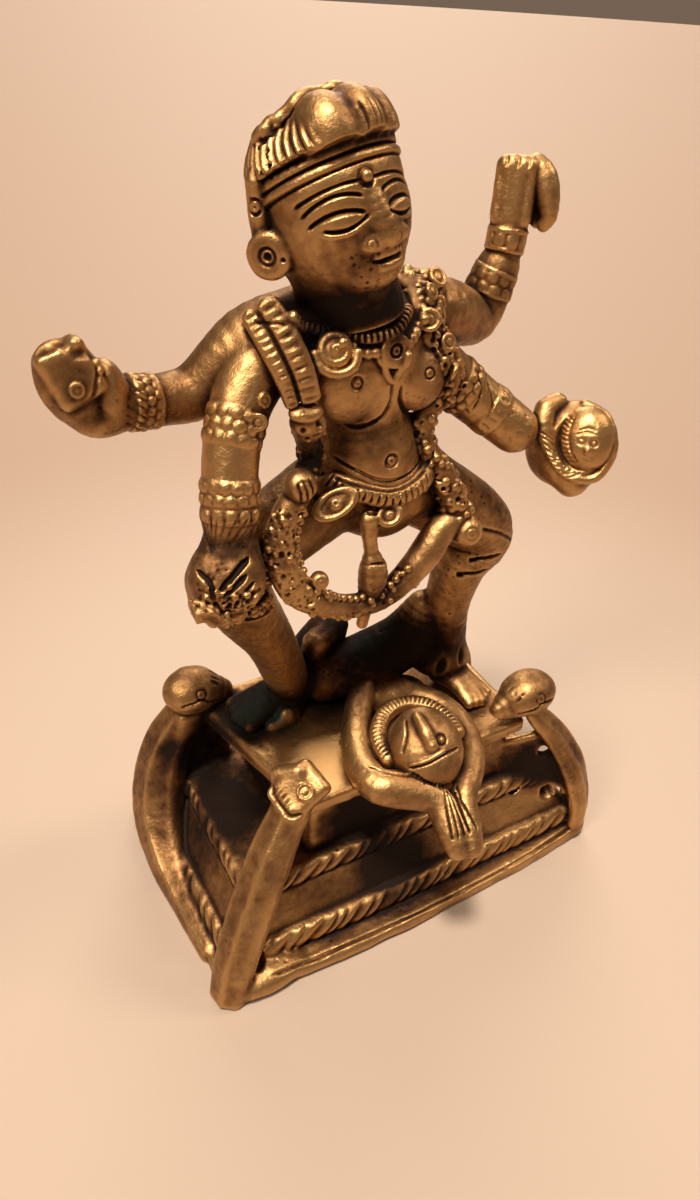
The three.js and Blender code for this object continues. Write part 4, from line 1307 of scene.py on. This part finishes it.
def make_devotee():
    """He lies on his back on the slab, with his arms round his head and joined hands over the edge."""
    clay = Clay((-40, -46, -20), (40, 82, 40), DEVOTEE_STEP)
    for arm in (LEFT_OF_HIM, RIGHT_OF_HIM):
        clay.add(limb(arm), 1.5, margin=4)
    clay.add(ball((6, 36, 3), (17, 9, 8)), 3, margin=4)
    clay.add(ball((2, 48, 4), (11, 12, 8)), 3, margin=4)
    clay.add(ball((0, 46.5, 9), (5.5, 5.5, 5)), 1.5)
    clay.add(limb([[-4, 52, 6, 8], [-12, 60, 14, 8], [-13, 66, 5, 8]]), 2, margin=3)
    clay.add(block((-15, 60, 17), (12.5, 5.5, 16.5), 4.5, turn((10, 0, 30))), 2, margin=3)
    clay.add(limb([[-14, 63, 27, 6.5], [-17, 70, 13, 7], [-18, 75, 3, 7]]), 2.5)
    clay.add(limb([[8, 52, 3, 6], [12, 60, 8, 6.5], [12, 69, 2, 5]]), 2, margin=3)
    clay.add(ball((-2, 12, 3), (13, 16, 6)), 2)

    # His head and hair
    spot, line = placer(HIS_HEAD, HIS_HEAD_AXES)
    clay.add(ball(HIS_HEAD, (14.4, 16.8, 11), HIS_HEAD_AXES), 0.8, margin=3)
    clay.add(limb([[*place, 3.4] for place in HAIR_RING], reach=2.0), 1.2)
    strokes(clay, moved(HAIR_RING, z=3), 6, 1.9, 0.5, 0.5)
    nose = line((-0.6, 13, 8.2, 1.6), (1.2, 6, 10.4, 2.4), (2.2, 0.6, 10.6, 2.2))
    clay.add(sweep(nose, reach=3.2), 1.6)
    punch(clay, spot(6.4, 2.0, 10), 2.0, 0.55, 0.7)
    clay.add(ball(spot(6.4, 2.0, 10), 1.0), 0.4)
    mouth = line((-8, -6, 9), (-1, -5.6, 10.4), (6, -3.6, 9.6), (12, -2.2, 6))
    groove(clay, mouth, 0.7, 0.8)
    welt(clay, moved(mouth[:3], z=1.6), 0.8, 0, 0.6)
    groove(clay, line((-9, 0, 8), (-6, 6, 8.6), (-5, 12, 6)), 0.6, 0.6)

    # Folds of his sleeve, and his fingers
    for lift in (-2.2, 1.2):
        sleeve = [(-27, -2, 10), (-22, -8, 10.4 + lift), (-14, -12, 9.6 + lift), (-7, -18, 6)]
        groove(clay, sleeve, 0.55, 0.6)
    for shift in (-6.0, -3.4, -0.8, 1.8, 4.2):
        finger = [(shift * 0.4 - 1, -18, 6), (shift * 0.7 - 2, -25, 2), (shift - 3, -35, -5)]
        groove(clay, finger, 0.55, 0.7)
    strokes(clay, [(-12, -13, 9), (-8, -17, 7), (-4, -19, 6)], 3, 1.6, 0.5, 0.6)
    pits(clay, (-34, -20, 4), (26, 40, 14), 60, 0.5, 71)
    clay.field += 0.12 * grain(clay, 2.6, 7)
    return clay


def from_units(points):
    """From the devotee's units to millimetres."""
    return points * UNIT + np.array(DEVOTEE_ORIGIN, np.float32)


# Materials

def node(tree, kind, **settings):
    """Adds a node and sets its properties."""
    made = tree.nodes.new(kind)
    for key, value in settings.items():
        setattr(made, key, value)
    return made


def link(tree, source, target):
    tree.links.new(source, target)


def ramp(tree, value, stops, smooth=False):
    """A colour ramp over a value. Stops are (place, colour or grey)."""
    made = node(tree, "ShaderNodeValToRGB")
    colors = made.color_ramp
    colors.interpolation = "EASE" if smooth else "LINEAR"
    while len(colors.elements) < len(stops):
        colors.elements.new(0.5)
    for element, (place, tone) in zip(colors.elements, stops):
        element.position = place
        element.color = (*tone, 1) if isinstance(tone, tuple) else (tone, tone, tone, 1)
    link(tree, value, made.inputs["Fac"])
    return made.outputs["Color"]


def noise(tree, place, scale, detail, rough):
    made = node(tree, "ShaderNodeTexNoise")
    made.inputs["Scale"].default_value = scale
    made.inputs["Detail"].default_value = detail
    made.inputs["Roughness"].default_value = rough
    link(tree, place, made.inputs["Vector"])
    return made.outputs["Fac"]


def maths(tree, operation, *values):
    """Reckons with numbers and with what other nodes give."""
    made = node(tree, "ShaderNodeMath", operation=operation)
    for socket, value in zip(made.inputs, values):
        if isinstance(value, (int, float)):
            socket.default_value = value
        else:
            link(tree, value, socket)
    return made.outputs[0]


def blended(tree, share, low, high):
    """Mixes two colours by a share."""
    made = node(tree, "ShaderNodeMix", data_type="RGBA")
    for name, value in ((0, share), (6, low), (7, high)):
        if isinstance(value, tuple):
            made.inputs[name].default_value = (*value, 1)
        else:
            link(tree, value, made.inputs[name])
    return made.outputs[2]


def mask_value(tree, label):
    return node(tree, "ShaderNodeAttribute", attribute_name=label).outputs["Fac"]


def new_material(name):
    """A material, its node tree, its shader, and the place on the object."""
    material = bpy.data.materials.new(name)
    material.use_nodes = True
    tree = material.node_tree
    place = node(tree, "ShaderNodeTexCoord").outputs["Object"]
    return material, tree, tree.nodes["Principled BSDF"], place


BRIGHT_BRASS = (0.50, 0.30, 0.125)
AGED_BRASS = (0.27, 0.145, 0.060)
# The two dark tones colour patina and painted shade alike
BROWN_PATINA_AND_SHADE = (0.09, 0.042, 0.020)
BLACK_PATINA_AND_SHADE = (0.016, 0.009, 0.006)
VERDIGRIS = (0.02, 0.085, 0.08)

# Sizes of the two noises, and how hollow (patina in crevices), shade (painted shade between forms),
# cloud and speck count in the darkening: amount and offset
CLOUD_SCALE = 160
SPECK_SCALE = 900
DIRT_AND_SHADE_SHARES = ((1.5, -0.75), (1.0, -0.5), (0.6, -0.27), (0.25, -0.125))

# What each amount of darkening looks like: patina and painted shade alike
PATINA_AND_SHADE_TONES = ((0.30, BRIGHT_BRASS), (0.50, AGED_BRASS), (0.66, BROWN_PATINA_AND_SHADE), (0.82, BLACK_PATINA_AND_SHADE))
PATINA_METAL = ((0.60, 1.0), (0.85, 0.6))
PATINA_ROUGHNESS = ((0.25, 0.42), (0.5, 0.5), (0.8, 0.68))


def brass(name):
    """Aged brass: bright where it is rubbed and where highlights are painted, brown to black in its
    hollows and where shade is painted.
    """
    material, tree, shader, place = new_material(name)
    labels = ("hollow", "shade", "wear_and_painted_light", "green")
    hollow, shade, wear_and_painted_light, green = (mask_value(tree, label) for label in labels)
    cloud = noise(tree, place, CLOUD_SCALE, 5.0, 0.62)
    speck = noise(tree, place, SPECK_SCALE, 3.0, 0.7)
    # The darkening sums painted shadow and highlight patches, wear, patina, painted shade, tone and
    # grain
    dirt_and_painted_light = maths(tree, "ADD", wear_and_painted_light, 0.5)
    # shade adds painted shade between forms, hollow adds patina in the crevices
    for cause, (amount, offset) in zip((hollow, shade, cloud, speck), DIRT_AND_SHADE_SHARES):
        dirt_and_painted_light = maths(tree, "ADD", dirt_and_painted_light, maths(tree, "MULTIPLY_ADD", cause, amount, offset))
    crusted = maths(tree, "MULTIPLY", green, maths(tree, "MULTIPLY_ADD", cloud, 3.0, -0.8))
    tone = blended(tree, crusted, ramp(tree, dirt_and_painted_light, PATINA_AND_SHADE_TONES), VERDIGRIS)
    link(tree, tone, shader.inputs["Base Color"])
    link(tree, ramp(tree, dirt_and_painted_light, PATINA_METAL), shader.inputs["Metallic"])
    link(tree, ramp(tree, dirt_and_painted_light, PATINA_ROUGHNESS), shader.inputs["Roughness"])
    shader.inputs["Specular IOR Level"].default_value = 0.2
    rough_skin = node(tree, "ShaderNodeBump")
    rough_skin.inputs["Strength"].default_value = 0.45
    rough_skin.inputs["Distance"].default_value = 0.0003
    relief = maths(tree, "ADD", speck, maths(tree, "MULTIPLY", cloud, 0.6))
    link(tree, relief, rough_skin.inputs["Height"])
    link(tree, rough_skin.outputs["Normal"], shader.inputs["Normal"])
    return material


def floor_surface(name):
    """Cream near the object, tan further out."""
    material, tree, shader, place = new_material(name)
    away = node(tree, "ShaderNodeVectorMath", operation="LENGTH")
    link(tree, place, away.inputs[0])
    share = maths(tree, "DIVIDE", away.outputs["Value"], FLOOR_FADE)
    tone = ramp(tree, share, ((0.2, FLOOR_CREAM), (0.6, FLOOR_TAN)), smooth=True)
    link(tree, tone, shader.inputs["Base Color"])
    shader.inputs["Roughness"].default_value = 0.6
    return material


# Stage, in metres
FLOOR_RADIUS = 3.0
FLOOR_FADE = 0.3
FLOOR_CREAM = (0.40, 0.32, 0.26)
FLOOR_TAN = (0.31, 0.225, 0.17)


def make_stage():
    """A round floor, wide enough that its edge isn't seen."""
    bpy.ops.mesh.primitive_circle_add(vertices=96, radius=FLOOR_RADIUS, fill_type="NGON")
    floor = bpy.context.object
    floor.name = "floor"
    floor.data.materials.append(floor_surface("floor"))


# Soft studio lamps: direction from the object, light that reaches it, width in degrees, tint
LAMPS = (
    ("overhead", (-0.20, -0.14, 0.97), 4, 9, (1, 0.86, 0.72)),
    ("left", (-0.66, -0.20, 0.72), 1.3, 14, (1, 0.84, 0.68)),
    ("right", (0.70, -0.14, 0.70), 0.9, 14, (1, 0.84, 0.68)),
    ("back", (0.40, 0.70, 0.59), 1.6, 34, (1, 0.86, 0.72)),
)
ROOM_TONE = (0.42, 0.29, 0.20)
ROOM_STRENGTH = 0.42


def make_light():
    for name, towards, strength, width, tone in LAMPS:
        data = bpy.data.lights.new(name, "SUN")
        data.energy = strength
        data.angle = math.radians(width)
        data.color = tone
        lamp = bpy.data.objects.new(name, data)
        lamp.rotation_mode = "QUATERNION"
        lamp.rotation_quaternion = Vector(towards).to_track_quat("Z", "Y")
        bpy.context.scene.collection.objects.link(lamp)
    world = bpy.data.worlds.new("studio")
    bpy.context.scene.world = world
    world.use_nodes = True
    background = world.node_tree.nodes["Background"]
    background.inputs["Color"].default_value = (*ROOM_TONE, 1)
    background.inputs["Strength"].default_value = ROOM_STRENGTH


# Camera: the photograph's view, through a 27 mm lens on a square frame of 36 mm
LENS = 27
SENSOR = 36
CAMERA_AZIMUTH = -31.3
CAMERA_ELEVATION = 36.0
CAMERA_ROLL = 3.4
CAMERA_DISTANCE = 137.8
CAMERA_AIM = (-4.634, 0, 52.317)
NEAREST_SEEN = 0.005


def make_camera():
    azimuth, elevation = math.radians(CAMERA_AZIMUTH), math.radians(CAMERA_ELEVATION)
    roll = math.radians(CAMERA_ROLL)
    back = Vector((math.sin(azimuth) * math.cos(elevation),
                   -math.cos(azimuth) * math.cos(elevation),
                   math.sin(elevation)))
    right = (-back).cross(Vector((0, 0, 1))).normalized()
    up = right.cross(-back)
    tilted_right = math.cos(roll) * right + math.sin(roll) * up
    tilted_up = math.cos(roll) * up - math.sin(roll) * right
    data = bpy.data.cameras.new("camera")
    data.sensor_fit = "VERTICAL"
    data.sensor_height = SENSOR
    data.sensor_width = SENSOR
    data.lens = LENS
    data.clip_start = NEAREST_SEEN
    camera = bpy.data.objects.new("camera", data)
    rotation = Matrix((tilted_right, tilted_up, back)).transposed()
    spot = (Vector(CAMERA_AIM) + back * CAMERA_DISTANCE) * MM
    camera.matrix_world = Matrix.Translation(spot) @ rotation.to_4x4()
    bpy.context.scene.collection.objects.link(camera)
    bpy.context.scene.camera = camera


# Patches seen in the photograph: centre and radius in millimetres, and how much darker they are.
# Brighter ones are below 0.
PAINTED_LIGHT_AND_WEAR_PATCHES = (
    # Painted shadow on the slab, on the devotee and between her feet
    (-18, 6, 31, 10, 0.5), (-12, 7, 34, 8, 0.35), (-2, 8, 33, 14, 0.6), (12, 2, 37, 11, 0.45),
    (0, 12, 38, 10, 0.4), (5, 0, 40, 9, 0.4), (-21, 5, 30, 6, 0.35), (-25, 8, 27, 5, 0.3),
    # Painted shadow and shade on the plinth, under the slab, behind the straps and on its webs
    (-27, 2, 17, 15, 0.45), (-8, -15, 20, 12, 0.5), (-4, -20, 10, 11, 0.55),
    (-12, -16, 24, 7, 0.25), (27, -15.6, 17, 9, 0.6), (-30, 13, 20, 6, 0.35),
    (-26, 12.5, 20, 7, 0.35),
    # Painted shade under her chin, at her waist and under her arm; darker patches on her thighs and his
    # hands
    (-12, -6, 98, 6.5, 0.5), (-5, -7, 98.5, 5.5, 0.5), (-16, -3, 98, 6, 0.4),
    (-14.8, -5.5, 81, 7, 0.4), (-18.5, -4.6, 87, 5, 0.3), (0, 4, 72, 10, 0.25),
    (-29, -9, 71, 8, 0.3), (-24, -9, 61, 6, 0.2), (-4, -10, 59, 7, 0.15), (-3.3, -14, 33, 4, 0.3),
    # Painted highlight on the slab's top, the devotee's arms and the front left head; rubbed places on
    # the rim
    (-14, -9, 28.5, 13, -0.5), (2, -4, 28.5, 10, -0.3), (-6, -16, 31, 13, -0.12),
    (-20.5, -16, 33, 5, -0.3), (-26, -21, 6, 10, -0.25), (22, -20, 8, 12, -0.25),
    # Painted highlights and rubbed places on the goddess, from her knees up
    (-19, -10, 65, 6, -0.2), (3, -9, 60, 6, -0.25), (9, -8, 71, 7, -0.15),
    (25.7, -12, 78, 9, -0.35), (14, -7, 83, 8, -0.25), (-27, -7, 84, 7, -0.5),
    (-23, -3, 94, 8, -0.25), (-4.6, -7.9, 88.9, 6, -0.25), (-11, -8, 90, 6, -0.15),
    (-12.9, -8, 95, 3.6, -0.7), (19, 3, 108, 8, -0.2), (-15, -8, 112, 9, -0.1),
)

# Verdigris at the feet and in the loop of the garland, in the same way
GREEN_PATCHES = ((-14.5, 1.6, 29.2, 3.6, 0.9), (-18, 6, 30, 6, 0.3), (1, 2, 41, 6, 0.25))


def set_patches(mesh, name, patches):
    """Keeps, for each point, the sum of the patches around it."""
    spots = points_of(mesh) / MM
    total = np.zeros(len(spots), np.float32)
    for *centre, radius, amount in patches:
        away = np.linalg.norm(spots - np.array(centre, np.float32), axis=1)
        total += amount * bump(away, radius)
    keep_mask(mesh, name, total)


def finish_piece(piece, material, stands_for):
    """Gives a piece its patches, its material and its place in the frame."""
    # Patches of painted shadow, painted highlight and wear, kept for the material
    set_patches(piece.data, "wear_and_painted_light", PAINTED_LIGHT_AND_WEAR_PATCHES)
    set_patches(piece.data, "green", GREEN_PATCHES)
    piece.data.materials.append(material)
    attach(piece, "root")
    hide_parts(stands_for)


# Masks: a name for the material, and how far they look round a point, in the piece's own units. Hollow
# marks crevices for patina, shade marks where painted shade goes between forms.
MASKS = (("hollow", 0.9), ("shade", 2.6))
HIS_MASKS = (("hollow", 2.1), ("shade", 6.2))

# Pieces: name, maker, way to millimetres, most triangles, masks, node that it stands for
PIECES = (
    ("goddess_head", make_head, head_place, 180000, MASKS, "kali_figure"),
    ("goddess_body", make_body, from_shares, 195000, MASKS, "kali_figure"),
    ("goddess_legs", make_legs, from_shares, 195000, MASKS, "kali_figure"),
    ("plinth", make_plinth, from_millimetres, 195000, MASKS, "pedestal"),
    ("devotee", make_devotee, from_units, 130000, HIS_MASKS, "pedestal"),
)


def main():
    make_camera()
    make_light()
    make_stage()
    bpy.context.scene.view_settings.view_transform = "Standard"
    metal = brass("aged_brass")
    for name, make, place, most, masks, stands_for in PIECES:
        piece = mesh_from(make(), name, place, most, masks)
        finish_piece(piece, metal, stands_for)


main()
